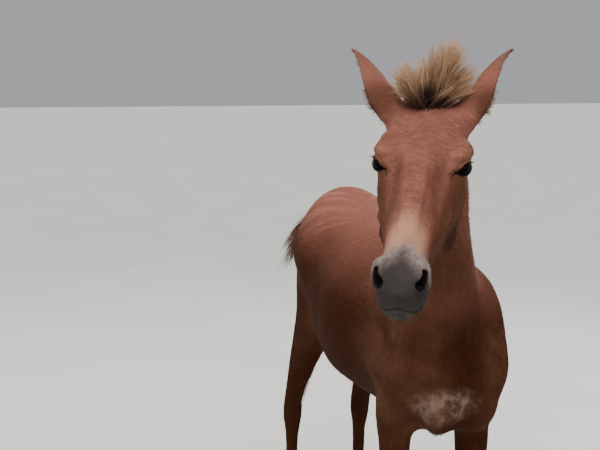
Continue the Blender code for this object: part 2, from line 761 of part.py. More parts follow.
def hoof_block(side, along):
    """All that lies under the slanted top of a hoof."""
    size = Vector((0.16, 0.16, 0.12))
    tilt = Matrix.Rotation(-math.atan(CORONET_SLOPE), 4, "X")
    place = Matrix.Translation((side, along, HOOF_HEIGHT + GAP)) @ tilt
    return box("hoof_block", place @ Matrix.Translation((0, 0, -size.z / 2)), size)


def node_name(centre):
    """Names a piece of the parted flesh by where its surface's middle lies."""
    if centre.z > 1.28 and centre.y < -0.22:
        return "head"
    if centre.z > 1.0 and centre.y < 0.20:
        return "neck"
    if centre.z > 0.80:
        return "torso"
    return f"leg_{'front' if centre.y < 0.6 else 'hind'}_{'left' if centre.x > 0 else 'right'}"


def part_flesh(body):
    for cutter in part_plates():
        boolean(body, cutter, "DIFFERENCE")
    for side, along in hoof_places():
        boolean(body, hoof_block(side, along), "DIFFERENCE")
    nodes = {}
    for volume, faces in islands(body.data):
        if volume < SCRAP_VOLUME:
            continue
        points = [body.data.polygons[i].center for i in faces]
        name = node_name(sum(points, Vector()) / len(points))
        if name not in nodes:
            nodes[name] = piece_of(body.data, faces, name)
    bpy.data.objects.remove(body)
    return nodes


# ---------------------------------------------------------------- hooves, eyes and ears


def hoof_places():
    """The middle of each coronet: front left, front right, hind left, hind right."""
    front, hind = FORELEG[-2], HINDLEG[-2]
    return [(hand * row[1], row[2]) for row in (front, hind) for hand in (1, -1)]


def hoof(name, side, along):
    """A narrow upright hoof: a sloping wall, longer at the toe, on a flat sole."""
    rings = []
    for level, half, toe, heel, shift in HOOF:
        ring = []
        for k in range(28):
            angle = math.tau * k / 28
            reach = heel if math.sin(angle) > 0 else toe
            y = along + shift + reach * math.sin(angle)
            top = coronet_height(y, along)
            ring.append((side + half * math.cos(angle), y, top * level))
        rings.append(ring)
    return loft(name, rings)


def eyeball(name, hand):
    ball = ellipsoid(eye_centre(hand), (EYE_RADIUS,) * 3, detail=3)
    ball.name = name
    return ball


def ear(name, hand, tip_way, open_way):
    """A long leaf rolled into a cup that opens outwards, nearly shut at its foot and flat at its tip."""
    root = on_head(hand * EAR_ROOT[0], *EAR_ROOT[1:])
    tip_way = tip_way.normalized()
    open_way = (open_way - tip_way * open_way.dot(tip_way)).normalized()
    across = tip_way.cross(open_way)
    bm = bmesh.new()
    grid = []
    for along, half, arc, bow in smooth_rows(EAR, 2):
        middle = root + tip_way * EAR_LENGTH * along - open_way * EAR_LENGTH * bow
        radius = EAR_WIDTH * half / max(math.sin(math.radians(min(arc, 90))), 0.5)
        line = []
        for k in range(EAR_COLUMNS + 1):
            angle = math.radians(arc) * (2 * k / EAR_COLUMNS - 1)
            line.append(
                bm.verts.new(
                    middle
                    + across * radius * math.sin(angle)
                    - open_way * radius * (math.cos(angle) - 0.35)
                )
            )
        grid.append(line)
    for near, far in zip(grid, grid[1:]):
        for i in range(EAR_COLUMNS):
            bm.faces.new((near[i], near[i + 1], far[i + 1], far[i]))
    obj = object_from_bmesh(name, bm)
    wall = obj.modifiers.new("Wall", "SOLIDIFY")
    wall.thickness = EAR_WALL
    wall.offset = 0.0
    wall.use_even_offset = False
    return settle(obj)


# ---------------------------------------------------------------- locks of hair


def lock(root, way, droop, length, width, thickness, flat_way, rings=5):
    """A flat tapered lock that leaves its root one way and bends towards another."""
    bm = bmesh.new()
    point, way = Vector(root), Vector(way).normalized()
    bend = Vector(droop) / rings
    loops = []
    for k in range(rings):
        share = k / rings
        broad = width * (0.55 + 1.5 * share * (1 - share) + 0.12 * (1 - share)) * (1 - 0.55 * share**2)
        thin = thickness * (1 - 0.55 * share)
        across = way.cross(Vector(flat_way)).normalized()
        rise = across.cross(way).normalized()
        loops.append(
            [
                bm.verts.new(point + across * broad * a + rise * thin * b)
                for a, b in ((0.5, 0), (0, 0.5), (-0.5, 0), (0, -0.5))
            ]
        )
        point = point + way * length / rings
        way = (way + bend).normalized()
    for near, far in zip(loops, loops[1:]):
        for i in range(4):
            j = (i + 1) % 4
            bm.faces.new((near[i], near[j], far[j], far[i]))
    bm.faces.new(loops[0])
    tip = bm.verts.new(point)
    for i in range(4):
        bm.faces.new((loops[-1][i], loops[-1][(i + 1) % 4], tip))
    return object_from_bmesh("lock", bm)


def crest_line(steps):
    """Points of the neck's crest from poll to withers, with the way up and the way to the side."""
    rows = [(*crest, *throat) for crest, throat, *_ in NECK[1:-1]]
    fine = smooth_rows(rows[::-1], 8)
    picks = np.linspace(0, len(fine) - 1, steps)
    found = []
    for pick in picks:
        low = int(min(pick, len(fine) - 2))
        row = fine[low] + (fine[low + 1] - fine[low]) * (pick - low)
        crest, throat = Vector(row[:3]), Vector(row[3:6])
        onward = (Vector(fine[low + 1][:3]) - Vector(fine[low][:3])).normalized()
        up = (crest - throat).normalized()
        found.append((crest, up, onward, onward.cross(up).normalized()))
    return found


def mane_locks():
    """Two staggered rows of upright locks from poll to withers, over a thin core half as high."""
    rng = random.Random(11)
    places = crest_line(MANE_PLACES)
    rings = []
    for index, (crest, up, _, side) in enumerate(places):
        high = MANE_LENGTH * (0.46 - 0.22 * index / len(places))
        outline = ((0.008, -0.012), (0.006, high * 0.7), (0, high), (-0.006, high * 0.7), (-0.008, -0.012))
        rings.append([crest + side * s + up * h for s, h in outline])
    made = [loft("core", rings)]
    for index, (crest, up, onward, side) in enumerate(places[1:]):
        share = index / (len(places) - 2)
        for hand in (1, -1):
            length = MANE_LENGTH * (1.0 - 0.40 * share) * rng.uniform(0.88, 1.12)
            way = up + side * (0.10 * hand + rng.uniform(-0.08, 0.10)) + onward * rng.uniform(-0.25, 0.20)
            droop = side * (0.26 + 0.22 * hand) + onward * rng.uniform(0.35, 0.85) - up * 0.12
            shift = side * 0.007 * hand + onward * (0.006 * hand + rng.uniform(-0.004, 0.004))
            root = crest - up * ROOT_DEPTH + shift
            made.append(lock(root, way, droop, length + ROOT_DEPTH, *MANE_LOCK, side, 4))
    return made


def forelock_locks():
    """A wide fan of locks that stands up between the ears, longest at its middle."""
    rng = random.Random(5)
    side, back = head_way(1, 0, 0), head_backward()
    made = [ellipsoid(on_head(0, 0.016, -0.002), (0.038, 0.030, 0.046), detail=2)]
    for along, count, reach, lean in FORELOCK_ROWS:
        for k in range(count):
            across = 2 * (k + 0.5) / count - 1
            angle = FORELOCK_FAN * across + math.radians(rng.uniform(-2, 6))
            way = Vector((0, 0, 1)) * math.cos(angle) + side * math.sin(angle) + back * lean
            length = FORELOCK_LENGTH * reach * (1.0 - 0.22 * across**2) * rng.uniform(0.88, 1.08)
            root = on_head(0.026 * across, along, ROOT_DEPTH)
            droop = side * (0.30 * across + rng.uniform(-0.25, 0.25)) + back * rng.uniform(0.0, 0.30)
            made.append(lock(root, way, droop, length + ROOT_DEPTH, *FORELOCK_LOCK, back))
    return made


def tail_line(t):
    """Middle of the tail from its root, 0, to the end of its hair, 1."""
    along, height = TAIL_ROOT
    out = 0.105 * math.sin(math.pi * min(t * 1.6, 0.5))
    return Vector((SWAY - TAIL_SWING * t**TAIL_SWING_POWER, along + out, height - TAIL_LENGTH * t))


def tail_core():
    """The fleshy dock within the roots of its hair."""
    rings = []
    for k in range(9):
        t = TAIL_DOCK_SHARE * k / 8
        point = tail_line(t)
        way = (tail_line(t + 0.02) - tail_line(t)).normalized()
        radius = 0.030 + 0.008 * math.sin(math.pi * k / 8) - 0.018 * (k / 8) ** 3
        side = Vector((1, 0, 0))
        rise = side.cross(way).normalized()
        angles = [math.tau * i / 10 for i in range(10)]
        rings.append([point + (side * math.cos(a) + rise * 0.8 * math.sin(a)) * radius for a in angles])
    return loft("tail", rings)


def tail_locks():
    """Locks in tiers round the dock that fall and close into a switch."""
    rng = random.Random(3)
    made = []
    for tier, (start, end, count) in enumerate(TAIL_TIERS):
        for k in range(count):
            angle = math.tau * (k + 0.5 * (tier % 2)) / count
            outward = Vector((math.cos(angle), math.sin(angle), 0))
            root = tail_line(start) + outward * 0.016
            length = TAIL_LENGTH * (end - start) * rng.uniform(0.94, 1.03)
            goal = tail_line(start + length / TAIL_LENGTH) + outward * 0.008
            chord = (goal - root).normalized()
            way = chord + outward * rng.uniform(0.12, 0.18)
            made.append(lock(root, way, (chord - way) * 1.6, length, *TAIL_LOCK, outward, 5))
    return made


def gathered(pieces):
    """The pieces moved into a collection of their own, to be joined by one union."""
    bunch = bpy.data.collections.new("locks")
    bpy.context.scene.collection.children.link(bunch)
    for piece in pieces:
        bpy.context.scene.collection.objects.unlink(piece)
        bunch.objects.link(piece)
    return bunch


def grow(node, locks, neighbours):
    """Fuses locks, cut clear of the neighbouring nodes, into the node that they grow from."""
    bunch = boolean(locks[0], gathered(locks[1:]), "UNION", "MANIFOLD")
    for neighbour in neighbours:
        boolean(bunch, swollen(neighbour, 2 * GAP), "DIFFERENCE", "MANIFOLD")
    return keep_largest(boolean(node, bunch, "UNION", "MANIFOLD"))


# ---------------------------------------------------------------- the part


def material(name, colour, roughness):
    made = bpy.data.materials.new(name)
    made.use_nodes = True
    shader = made.node_tree.nodes["Principled BSDF"]
    shader.inputs["Base Color"].default_value = (*colour, 1.0)
    shader.inputs["Roughness"].default_value = roughness
    return made


def clear_scene():
    for obj in list(bpy.data.objects):
        bpy.data.objects.remove(obj)


def ears():
    """Both stand up and back and open outwards."""
    up, side, back = Vector((0, 0, 1)), head_way(1, 0, 0), head_backward()
    made = {}
    for name, (hand, out) in EAR_SPREAD.items():
        tip_way = up * 0.127 + side * hand * out + back * 0.122
        open_way = side * hand * 0.92 + back * 0.38 - up * 0.2
        made[name] = ear(name, hand, tip_way, open_way)
    return made


def build():
    clear_scene()
    body = lighten(flesh())
    nodes = part_flesh(carve_head(body))
    for name, shell in ears().items():
        nodes[name] = keep_largest(boolean(shell, swollen(nodes["head"], GAP), "DIFFERENCE"))
    for name, hand in (("eye_left", 1), ("eye_right", -1)):
        nodes[name] = eyeball(name, hand)
    beside_forelock = [nodes[name] for name in ("ear_left", "ear_right", "neck")]
    nodes["head"] = grow(nodes["head"], forelock_locks(), beside_forelock)
    beside_mane = [nodes[name] for name in ("ear_left", "ear_right", "head", "torso")]
    nodes["neck"] = grow(nodes["neck"], mane_locks(), beside_mane)
    tail = boolean(tail_core(), swollen(nodes["torso"], GAP), "DIFFERENCE")
    nodes["tail"] = grow(keep_largest(tail), tail_locks(), [nodes["torso"]])
    names = ("hoof_front_left", "hoof_front_right", "hoof_hind_left", "hoof_hind_right")
    for name, (side, along) in zip(names, hoof_places()):
        nodes[name] = hoof(name, side, along)
    finish(nodes)


def finish(nodes):
    """Gives each node its name and material, and moves the part to its origin."""
    looks = {
        "coat": material("coat", COAT, 0.62),
        "hair": material("hair", HAIR, 0.70),
        "horn": material("horn", HORN, 0.50),
        "eye": material("eye", EYE_COLOUR, 0.08),
    }
    home = bpy.data.collections.new("mule")
    bpy.context.scene.collection.children.link(home)
    corners = [v.co for obj in nodes.values() for v in obj.data.vertices]
    low = Vector([min(c[k] for c in corners) for k in range(3)])
    high = Vector([max(c[k] for c in corners) for k in range(3)])
    shift = Vector((-(low.x + high.x) / 2, -(low.y + high.y) / 2, 0.0))
    for name, obj in nodes.items():
        obj.name = name
        obj.data.name = name
        kind = {"eye": "eye", "hoo": "horn", "tai": "hair"}.get(name[:3], "coat")
        obj.data.materials.clear()
        obj.data.materials.append(looks[kind])
        obj.data.transform(Matrix.Translation(shift))
        bpy.context.scene.collection.objects.unlink(obj)
        home.objects.link(obj)
        if name.startswith("eye") or name.startswith("hoof"):
            obj.data.shade_smooth()
            obj.data.set_sharp_from_angle(angle=math.radians(40))


if __name__ == "__main__":
    build()
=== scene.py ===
"""Looks of the standing mule: skin, coat, hair, eyes, hooves and a plain studio, round the fixed frame."""

import math

import bmesh
import bpy
import numpy as np
from mathutils import Matrix, Vector
from mathutils.bvhtree import BVHTree


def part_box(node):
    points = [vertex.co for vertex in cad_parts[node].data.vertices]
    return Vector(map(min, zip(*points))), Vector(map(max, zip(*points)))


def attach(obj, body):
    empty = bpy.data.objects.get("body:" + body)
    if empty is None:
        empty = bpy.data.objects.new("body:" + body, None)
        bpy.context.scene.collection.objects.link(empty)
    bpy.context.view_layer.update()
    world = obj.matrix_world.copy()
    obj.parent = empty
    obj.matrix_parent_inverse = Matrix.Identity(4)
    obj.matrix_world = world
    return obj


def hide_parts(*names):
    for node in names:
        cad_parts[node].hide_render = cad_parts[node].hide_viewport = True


bl_info = {
    "name": "Standing Mule",
    "version": (1, 0, 0),
    "blender": (4, 5, 0),
    "location": "View3D > Sidebar > Mule",
    "description": "Skin, coat, mane, tail, eyes and hooves of a life-size mule, with a plain studio",
    "category": "Object",
}

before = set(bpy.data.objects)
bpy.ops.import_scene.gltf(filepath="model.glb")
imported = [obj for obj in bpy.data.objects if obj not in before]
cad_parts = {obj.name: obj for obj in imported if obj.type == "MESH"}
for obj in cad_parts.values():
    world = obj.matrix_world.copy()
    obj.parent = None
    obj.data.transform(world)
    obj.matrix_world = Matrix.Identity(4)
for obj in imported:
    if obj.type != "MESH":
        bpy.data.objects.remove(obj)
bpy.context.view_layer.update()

# ---------------------------------------------------------------- driving sizes, metres

HEAD_YAW = math.radians(32.0)
HEAD_PITCH = math.radians(37.0)
HEAD_ROLL = math.radians(3.0)
POLL = Vector((-0.1945, -0.1706, 1.593))  # in the body's frame
EYE = Vector((0.0700, 0.170, 0.050))  # side, along the nose and down from the poll
EYE_RADIUS = 0.0225
EYE_BULGE = 0.0035
LID_SLANT = -0.18
LID_HALF_LENGTH = 0.0240
LID_ABOVE = 0.0114
LID_BELOW = 0.0084
LID_THICKNESS = 0.0030
NOSTRIL = ((0.0318, 0.468, 0.023), (0.0255, 0.483, 0.039))  # upper and lower end of its slit
NOSTRIL_WIDTH = (0.0058, 0.0094)
NOSTRIL_SHIFT = {1: 0.0, -1: 0.0034}  # towards the middle
NOSTRIL_DEPTH = 0.021
EAR_LENGTH = 0.189
EAR_WIDTH = 0.072
EAR_WALL = 0.0042
EAR_ROOT = (0.076, 0.030, 0.018)
EAR_SPREAD = {1: 0.080, -1: 0.118}  # left and right
EAR_REACH = 0.050  # how far round its root the skin is softened

# Rings of an ear: shares of its length and width, half its arc in degrees, and how far it bows back
EAR = (
    (-0.32, 0.18, 150, -0.020),
    (-0.14, 0.34, 150, -0.020),
    (0.00, 0.42, 148, 0.000),
    (0.16, 0.49, 128, 0.020),
    (0.34, 0.52, 104, 0.034),
    (0.52, 0.46, 88, 0.036),
    (0.70, 0.34, 76, 0.028),
    (0.86, 0.20, 66, 0.010),
    (0.97, 0.08, 58, -0.010),
    (1.00, 0.02, 55, -0.020),
)

HOOF_HEIGHT = 0.066
CORONET_SLOPE = 0.30
TAIL_LENGTH = 0.80
TAIL_ROOT = (1.105, 1.165)  # along and up in the body's frame
TAIL_SWING = 0.139
TAIL_SWING_POWER = 1.6
TAIL_DOCK = 0.38
SWAY = 0.044  # the croup swings a little to its left over the hind legs
SWAY_ALONG = (0.50, 0.88)
SWAY_UP = (0.66, 1.02)

# Crest and throat of the neck in the body's frame, from the withers to the poll
CREST = (
    ((0.000, 0.300, 1.240), (0.000, 0.035, 0.910)),
    ((-0.026, 0.205, 1.300), (-0.034, -0.004, 1.020)),
    ((-0.060, 0.110, 1.375), (-0.072, -0.030, 1.130)),
    ((-0.097, 0.020, 1.450), (-0.100, -0.052, 1.230)),
    ((-0.131, -0.062, 1.520), (-0.119, -0.068, 1.315)),
    ((-0.168, -0.128, 1.572), (-0.140, -0.082, 1.385)),
)

# Half widths of the neck high up, at the middle and low down, from the withers to the poll
NECK_WIDTHS = (
    (0.048, 0.128, 0.104),
    (0.034, 0.080, 0.076),
    (0.028, 0.068, 0.065),
    (0.026, 0.062, 0.060),
    (0.029, 0.063, 0.060),
    (0.036, 0.060, 0.056),
)
NECK_LEVELS = (0.90, 0.52, 0.16)

# Back of the skull: along the nose, top and bottom below the poll, the same half widths
CROWN = (
    (-0.045, 0.018, 0.140, 0.038, 0.050, 0.040),
    (-0.010, 0.002, 0.168, 0.052, 0.062, 0.048),
    (0.040, -0.004, 0.196, 0.066, 0.073, 0.052),
    (0.095, -0.009, 0.216, 0.076, 0.081, 0.056),
)
CROWN_LEVELS = (0.86, 0.56, 0.14)

# Rings of a hoof: level from sole to coronet, half width, reach to toe and heel, shift backwards
HOOF = (
    (0.000, 0.0440, 0.0600, 0.0430, -0.0150),
    (0.012, 0.0430, 0.0570, 0.0425, -0.0125),
    (1.000, 0.0325, 0.0350, 0.0350, 0.0000),
)
HOOF_SEGMENTS, HOOF_RINGS = 64, 26
HOOF_PLACES = {"front": (0.106, 0.147), "hind": (0.126, 1.012)}

# The coronet: level, how far it swells, and how far it is lifted
HOOF_TOP = [(0.985, 0.0016, 0.0), (1.0, 0.0010, 0.0), (1.0, -0.0030, 0.0060), (1.0, -0.0060, 0.0120)]

SIDES = {"left": 1, "right": -1}
FUSED = ("head", "neck", "torso", "leg_front_left", "leg_front_right", "leg_hind_left", "leg_hind_right")
FLESH = (*FUSED, "ear_left", "ear_right")

BODY_VOXEL = 0.011
SKIN_VOXEL = 0.0042
SKIN_KEPT = 0.31  # share of the fine skin's faces that the body keeps
FINE_EYE = 0.046  # how far round an eye the skin has more points
FINE_MUZZLE = 0.44  # from where along the nose it has more points

# Seed of each piece of long hair, and the thickness of its strands
HAIR = {
    "forelock": (5, 0.00092),
    "mane": (6, 0.00115),
    "tail_hair": (7, 0.0013),
    "ear_fuzz": (8, 0.00042),
    "lashes": (9, 0.00028),
    "whiskers": (10, 0.00032),
}
COAT_SEED = 11

# How many locks and whiskers there are
MANE_LOCKS = 270
TAIL_LOCKS, BLOWN_LOCKS = 150, 44
CUP_LOCKS, EDGE_LOCKS = 210, 110
LIP_WHISKERS, SIDE_WHISKERS = 70, 10

# Locks: strands in each, their spread at the roots and at the tips, and how far some stray
LOCKS = {
    "forelock": (29, 0.0052, 0.0022, 0.0135),
    "mane": (13, 0.0035, 0.0040, 0.0070),
    "tail_hair": (15, 0.0040, 0.0050, 0.0140),
    "ear_fuzz": (6, 0.0016, 0.0016, 0.0030),
}

EYE_POINT = Vector((-1.016, -1.938, 1.610))  # where the viewer stands, in the body's frame
EYE_TURN = math.radians(17.0)
EYE_DROP = math.radians(8.74)
LENS = 55.8
SENSOR = 36.0
FLOOR_SIZE = 60.0
SKY_TINT, SKY_POWER = (0.88, 0.91, 0.95, 1), 0.45
SUN_TINT, SUN_POWER = (1.0, 0.985, 0.96), 3.0
SUN_WAY, SUN_SPREAD = Vector((0.20, 0.42, -1.0)), math.radians(55)

# Round lamps: place, target, size, power and tint
LAMPS = {
    "catch": ((-1.9, -3.4, 3.2), (-0.1, -0.6, 1.4), 0.9, 26, (1.0, 0.98, 0.96)),
    "rear_left": ((2.8, 2.4, 3.2), (0, 0, 1.2), 1.6, 90, (1.0, 0.98, 0.94)),
    "rear_right": ((-2.6, 2.9, 3.2), (0, 0.3, 1.1), 1.6, 70, (1.0, 0.98, 0.94)),
}


def middle_of(node):
    low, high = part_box(node)
    return (low + high) / 2


def head_axes():
    """Columns: the head's left, along its nose, and up from its face."""
    turned = Vector((-math.sin(HEAD_YAW), -math.cos(HEAD_YAW), 0.0))
    nose = turned * math.cos(HEAD_PITCH) - Vector((0, 0, math.sin(HEAD_PITCH)))
    side = Matrix.Rotation(-HEAD_ROLL, 3, nose) @ Vector((math.cos(HEAD_YAW), -math.sin(HEAD_YAW), 0.0))
    up = nose.cross(side)
    up = up if up.z > 0 else -up
    return Matrix((side, nose, up)).transposed()


HEAD_TURN = head_axes()
BETWEEN_EYES = (middle_of("eye_left") + middle_of("eye_right")) / 2
HEAD_PLACE = BETWEEN_EYES - HEAD_TURN @ Vector((0, EYE.y, -EYE.z))
BODY_PLACE = HEAD_PLACE - POLL  # the body's frame is only moved


def on_head(side, along, down):
    """A point given in the head's frame: to its left, along its nose and down from its face."""
    return HEAD_PLACE + HEAD_TURN @ Vector((side, along, -down))


def head_way(side, along, down):
    """A direction given in the head's frame."""
    return (HEAD_TURN @ Vector((side, along, -down))).normalized()


def on_body(point):
    """A point given in the body's frame."""
    return Vector(point) + BODY_PLACE


def rise(values, low, high):
    """0 below low, 1 above high, and smooth between."""
    t = np.clip((np.asarray(values, float) - low) / (high - low), 0.0, 1.0)
    return t * t * (3 - 2 * t)


def fall(values, low, high):
    """1 below low, 0 above high, and smooth between."""
    return rise(-values, -high, -low)


def bell(values, middle, width):
    """1 at the middle, and fading on both sides of it."""
    return np.exp(-(((values - middle) / width) ** 2))


def on_flank(side, along, up):
    """A point on the body, whose hindquarters are swung to their left."""
    swing = SWAY * rise(along, *SWAY_ALONG) * rise(up, *SWAY_UP)
    return on_body((side + swing, along, up))


def unit(rows):
    return rows / np.maximum(np.linalg.norm(rows, axis=-1, keepdims=True), 1e-12)


# ---------------------------------------------------------------- mesh tools


def new_object(name, mesh):
    obj = bpy.data.objects.new(name, mesh)
    bpy.context.scene.collection.objects.link(obj)
    return obj


def object_from_bmesh(name, bm):
    mesh = bpy.data.meshes.new(name)
    bm.to_mesh(mesh)
    bm.free()
    return new_object(name, mesh)


def read(data, key):
    rows = np.empty(len(data) * 3, np.float32)
    data.foreach_get(key, rows)
    return rows.reshape(-1, 3).astype(float)


def place_points(mesh, points):
    mesh.vertices.foreach_set("co", points.astype(np.float32).ravel())
    mesh.update()


def add_values(mesh, key, values):
    """Gives each point a number that the materials can read."""
    mesh.attributes.new(key, "FLOAT", "POINT").data.foreach_set("value", values.astype(np.float32))


def settle(obj):
    """Replaces the object's mesh by what its modifiers make of it."""
    graph = bpy.context.evaluated_depsgraph_get()
    mesh = bpy.data.meshes.new_from_object(obj.evaluated_get(graph))
    obj.modifiers.clear()
    spent = obj.data
    obj.data = mesh
    bpy.data.meshes.remove(spent)
    return obj


def remesh(obj, voxel):
    modifier = obj.modifiers.new("Fuse", "REMESH")
    modifier.mode = "VOXEL"
    modifier.voxel_size = voxel
    return settle(obj)


def edges_of(mesh):
    ends = np.empty(len(mesh.edges) * 2, np.int32)
    mesh.edges.foreach_get("vertices", ends)
    return ends.reshape(-1, 2).T


def relax(mesh, rounds, share, rebound=0.0):
    """Smooths a mesh by each point's share. A rebound near 0.6 keeps it from shrinking."""
    points = read(mesh.vertices, "co")
    a, b = edges_of(mesh)
    near = np.maximum(np.bincount(np.concatenate([a, b]), minlength=len(points)), 1)[:, None]
    share = np.broadcast_to(share, len(points))[:, None]
    pulls = (0.60, -rebound) if rebound else (0.60,)
    for _ in range(rounds):
        for pull in pulls:
            total = np.stack(
                [
                    np.bincount(a, points[b, k], len(points)) + np.bincount(b, points[a, k], len(points))
                    for k in range(3)
                ],
                axis=1,
            )
            points += share * pull * (total / near - points)
    place_points(mesh, points)


def in_group(obj, name, share):
    """Makes a vertex group with each point's share, in steps."""
    group = obj.vertex_groups.new(name=name)
    levels = np.round(np.asarray(share) * 20).astype(int)
    for level in range(1, 21):
        picked = np.flatnonzero(levels == level).tolist()
        if picked:
            group.add(picked, level / 20, "REPLACE")
    return name


def refine(mesh, chosen):
    """Splits the faces whose middles are chosen into four."""
    bm = bmesh.new()
    bm.from_mesh(mesh)
    bm.faces.ensure_lookup_table()
    middles = np.array([f.calc_center_median() for f in bm.faces])
    picked = np.flatnonzero(chosen(middles))
    edges = list({e for i in picked for e in bm.faces[i].edges})
    bmesh.ops.subdivide_edges(bm, edges=edges, cuts=1, use_grid_fill=True, smooth=0.0)
    bmesh.ops.triangulate(bm, faces=[f for f in bm.faces if len(f.verts) > 4])
    bm.to_mesh(mesh)
    bm.free()


def head_coordinates(points):
    """(side, along, down) of points in the head's frame."""
    local = (points - np.array(HEAD_PLACE)) @ np.array(HEAD_TURN)
    return local * np.array([1, 1, -1])


def body_coordinates(points):
    """(side, along, up) of points in the body's frame."""
    return points - np.array(BODY_PLACE)


def head_share(points):
    """1 on the head, falling to 0 down the neck."""
    local = head_coordinates(points)
    return rise(local[:, 1], -0.05, 0.02) * rise(points[:, 2], 1.10, 1.15)


def smooth_path(rows, steps):
    """Rows of numbers with a smooth curve put through them."""
    rows = np.array(rows, float)
    slopes = np.gradient(rows, axis=0)
    t = (np.arange(steps) / steps)[:, None]
    s = 3 * t**2 - 2 * t**3
    blocks = [
        (1 - s) * rows[i]
        + s * rows[i + 1]
        + (t**3 - 2 * t**2 + t) * slopes[i]
        + (t**3 - t**2) * slopes[i + 1]
        for i in range(len(rows) - 1)
    ]
    return np.concatenate([*blocks, rows[-1:]])


def crest_frame():
    """Along the crest from withers to poll: points, and the ways up, onward and to the side."""
    rows = smooth_path([(*crest, *throat) for crest, throat in CREST], 14)
    points = rows[:, :3] + np.array(BODY_PLACE)
    up = unit(rows[:, :3] - rows[:, 3:])
    onward = unit(np.gradient(rows[:, :3], axis=0))
    return points, up, onward, unit(np.cross(onward, up))


CREST_POINTS, CREST_UP, CREST_ONWARD, CREST_SIDE = crest_frame()


def nearest_on_crest(points, every):
    """Which of the crest's points is the nearest, and how far it is."""
    away = np.linalg.norm(points[:, None, :] - CREST_POINTS[None, ::every, :], axis=2)
    return away.argmin(axis=1) * every, away.min(axis=1)


def tail_line(t):
    """Middle of the tail from its root, 0, to the end of its hair, 1: it swings a little to its right."""
    t = np.asarray(t, float)
    along, height = TAIL_ROOT
    out = 0.105 * np.sin(np.pi * np.minimum(t * 1.6, 0.5))
    aside = SWAY - TAIL_SWING * t**TAIL_SWING_POWER
    return np.stack([aside, along + out, height - TAIL_LENGTH * t], axis=-1) + np.array(BODY_PLACE)


# ---------------------------------------------------------------- the skin


def hair_gathered(points):
    """The solids' locks drawn back into the crest and the crown, under the skin."""
    nearest, away = nearest_on_crest(points, 3)
    offset = points - CREST_POINTS[nearest]
    high = (offset * CREST_UP[nearest]).sum(1)
    aside = (offset * CREST_SIDE[nearest]).sum(1)
    hair = (high > 0.001) & (np.abs(aside) < 0.09) & (away < 0.14)
    drawn = CREST_POINTS[nearest] - CREST_UP[nearest] * 0.016
    drawn += CREST_SIDE[nearest] * np.clip(aside, -0.006, 0.006)[:, None]
    local = head_coordinates(points)
    crown = -0.013 - 0.35 * np.maximum(np.abs(local[:, 0]) - 0.040, 0)
    lifted = (local[:, 2] < crown) & (local[:, 1] < 0.085) & (local[:, 1] > -0.16)
    under = np.array([on_head(0.3 * s, 0.016, 0.024) for s in local[:, 0]])
    points = np.where((hair & ~lifted)[:, None], drawn, points)
    return np.where(lifted[:, None], under, points)


def filled_hollows():
    """Centres and radii of what fills the eye sockets, the nostrils, the ears' feet and the dock."""
    for hand in SIDES.values():
        yield Vector(eye_middle(hand)), (EYE_RADIUS + 0.001,) * 3
        yield on_head(hand * 0.034, 0.470, 0.044), (0.0205, 0.0280, 0.0290)
        yield on_head(hand * 0.026, 0.490, 0.056), (0.0185, 0.0190, 0.0230)
        root, tip_way, open_way, _ = ear_axes(hand)
        for along, radius in ((-0.30, 0.030), (-0.18, 0.031), (-0.06, 0.030)):
            yield root + tip_way * EAR_LENGTH * along + open_way * 0.010, (radius,) * 3
    for t in np.linspace(0.0, TAIL_DOCK, 12):
        yield Vector(tail_line(t)), (0.027 - 0.014 * (t / TAIL_DOCK) ** 1.5,) * 3


def section_ring(top, bottom, widths, levels):
    """A smooth closed outline through top, sides and bottom, as (side, up) pairs."""
    half = [(w, bottom + (top - bottom) * level) for w, level in zip(widths, levels)]
    around = np.array([(0.0, top), *half, (0.0, bottom), *[(-w, z) for w, z in reversed(half)]])
    closed = np.concatenate([around[-1:], around, around[:2]])
    return smooth_path(closed, 5)[5:-10]


def loft(bm, rings):
    """A closed solid through rings of points."""
    loops = []
    for ring in rings:
        verts = [bm.verts.new(point) for point in ring]
        loops.append([bm.edges.new((verts[i - 1], verts[i])) for i in range(len(verts))])
    for near, far in zip(loops, loops[1:]):
        bmesh.ops.bridge_loops(bm, edges=near + far)
    for end in (loops[0], loops[-1]):
        bmesh.ops.edgeloop_fill(bm, edges=end)


def fill_under_hair(bm):
    """The neck and the crown as they are under the mane and the forelock."""
    rows = [(*crest, *throat, *widths) for (crest, throat), widths in zip(CREST, NECK_WIDTHS)]
    rings = []
    for row in smooth_path(rows, 4):
        crest, throat = on_body(row[:3]), on_body(row[3:6])
        up = crest - throat
        turn = -HEAD_YAW * min(1.0, max(0.0, (0.30 - row[1]) / 0.47))
        side = Vector((math.cos(turn), math.sin(turn), 0.0))
        side = (side - up * side.dot(up) / up.length_squared).normalized()
        outline = section_ring(up.length, 0.0, row[6:], NECK_LEVELS)
        rings.append([throat + side * s + up.normalized() * h for s, h in outline])
    loft(bm, rings)
    rings = []
    for along, top, bottom, *widths in smooth_path(CROWN, 4):
        outline = section_ring(-top, -bottom, widths, CROWN_LEVELS)
        rings.append([on_head(side, along, -up) for side, up in outline])
    loft(bm, rings)


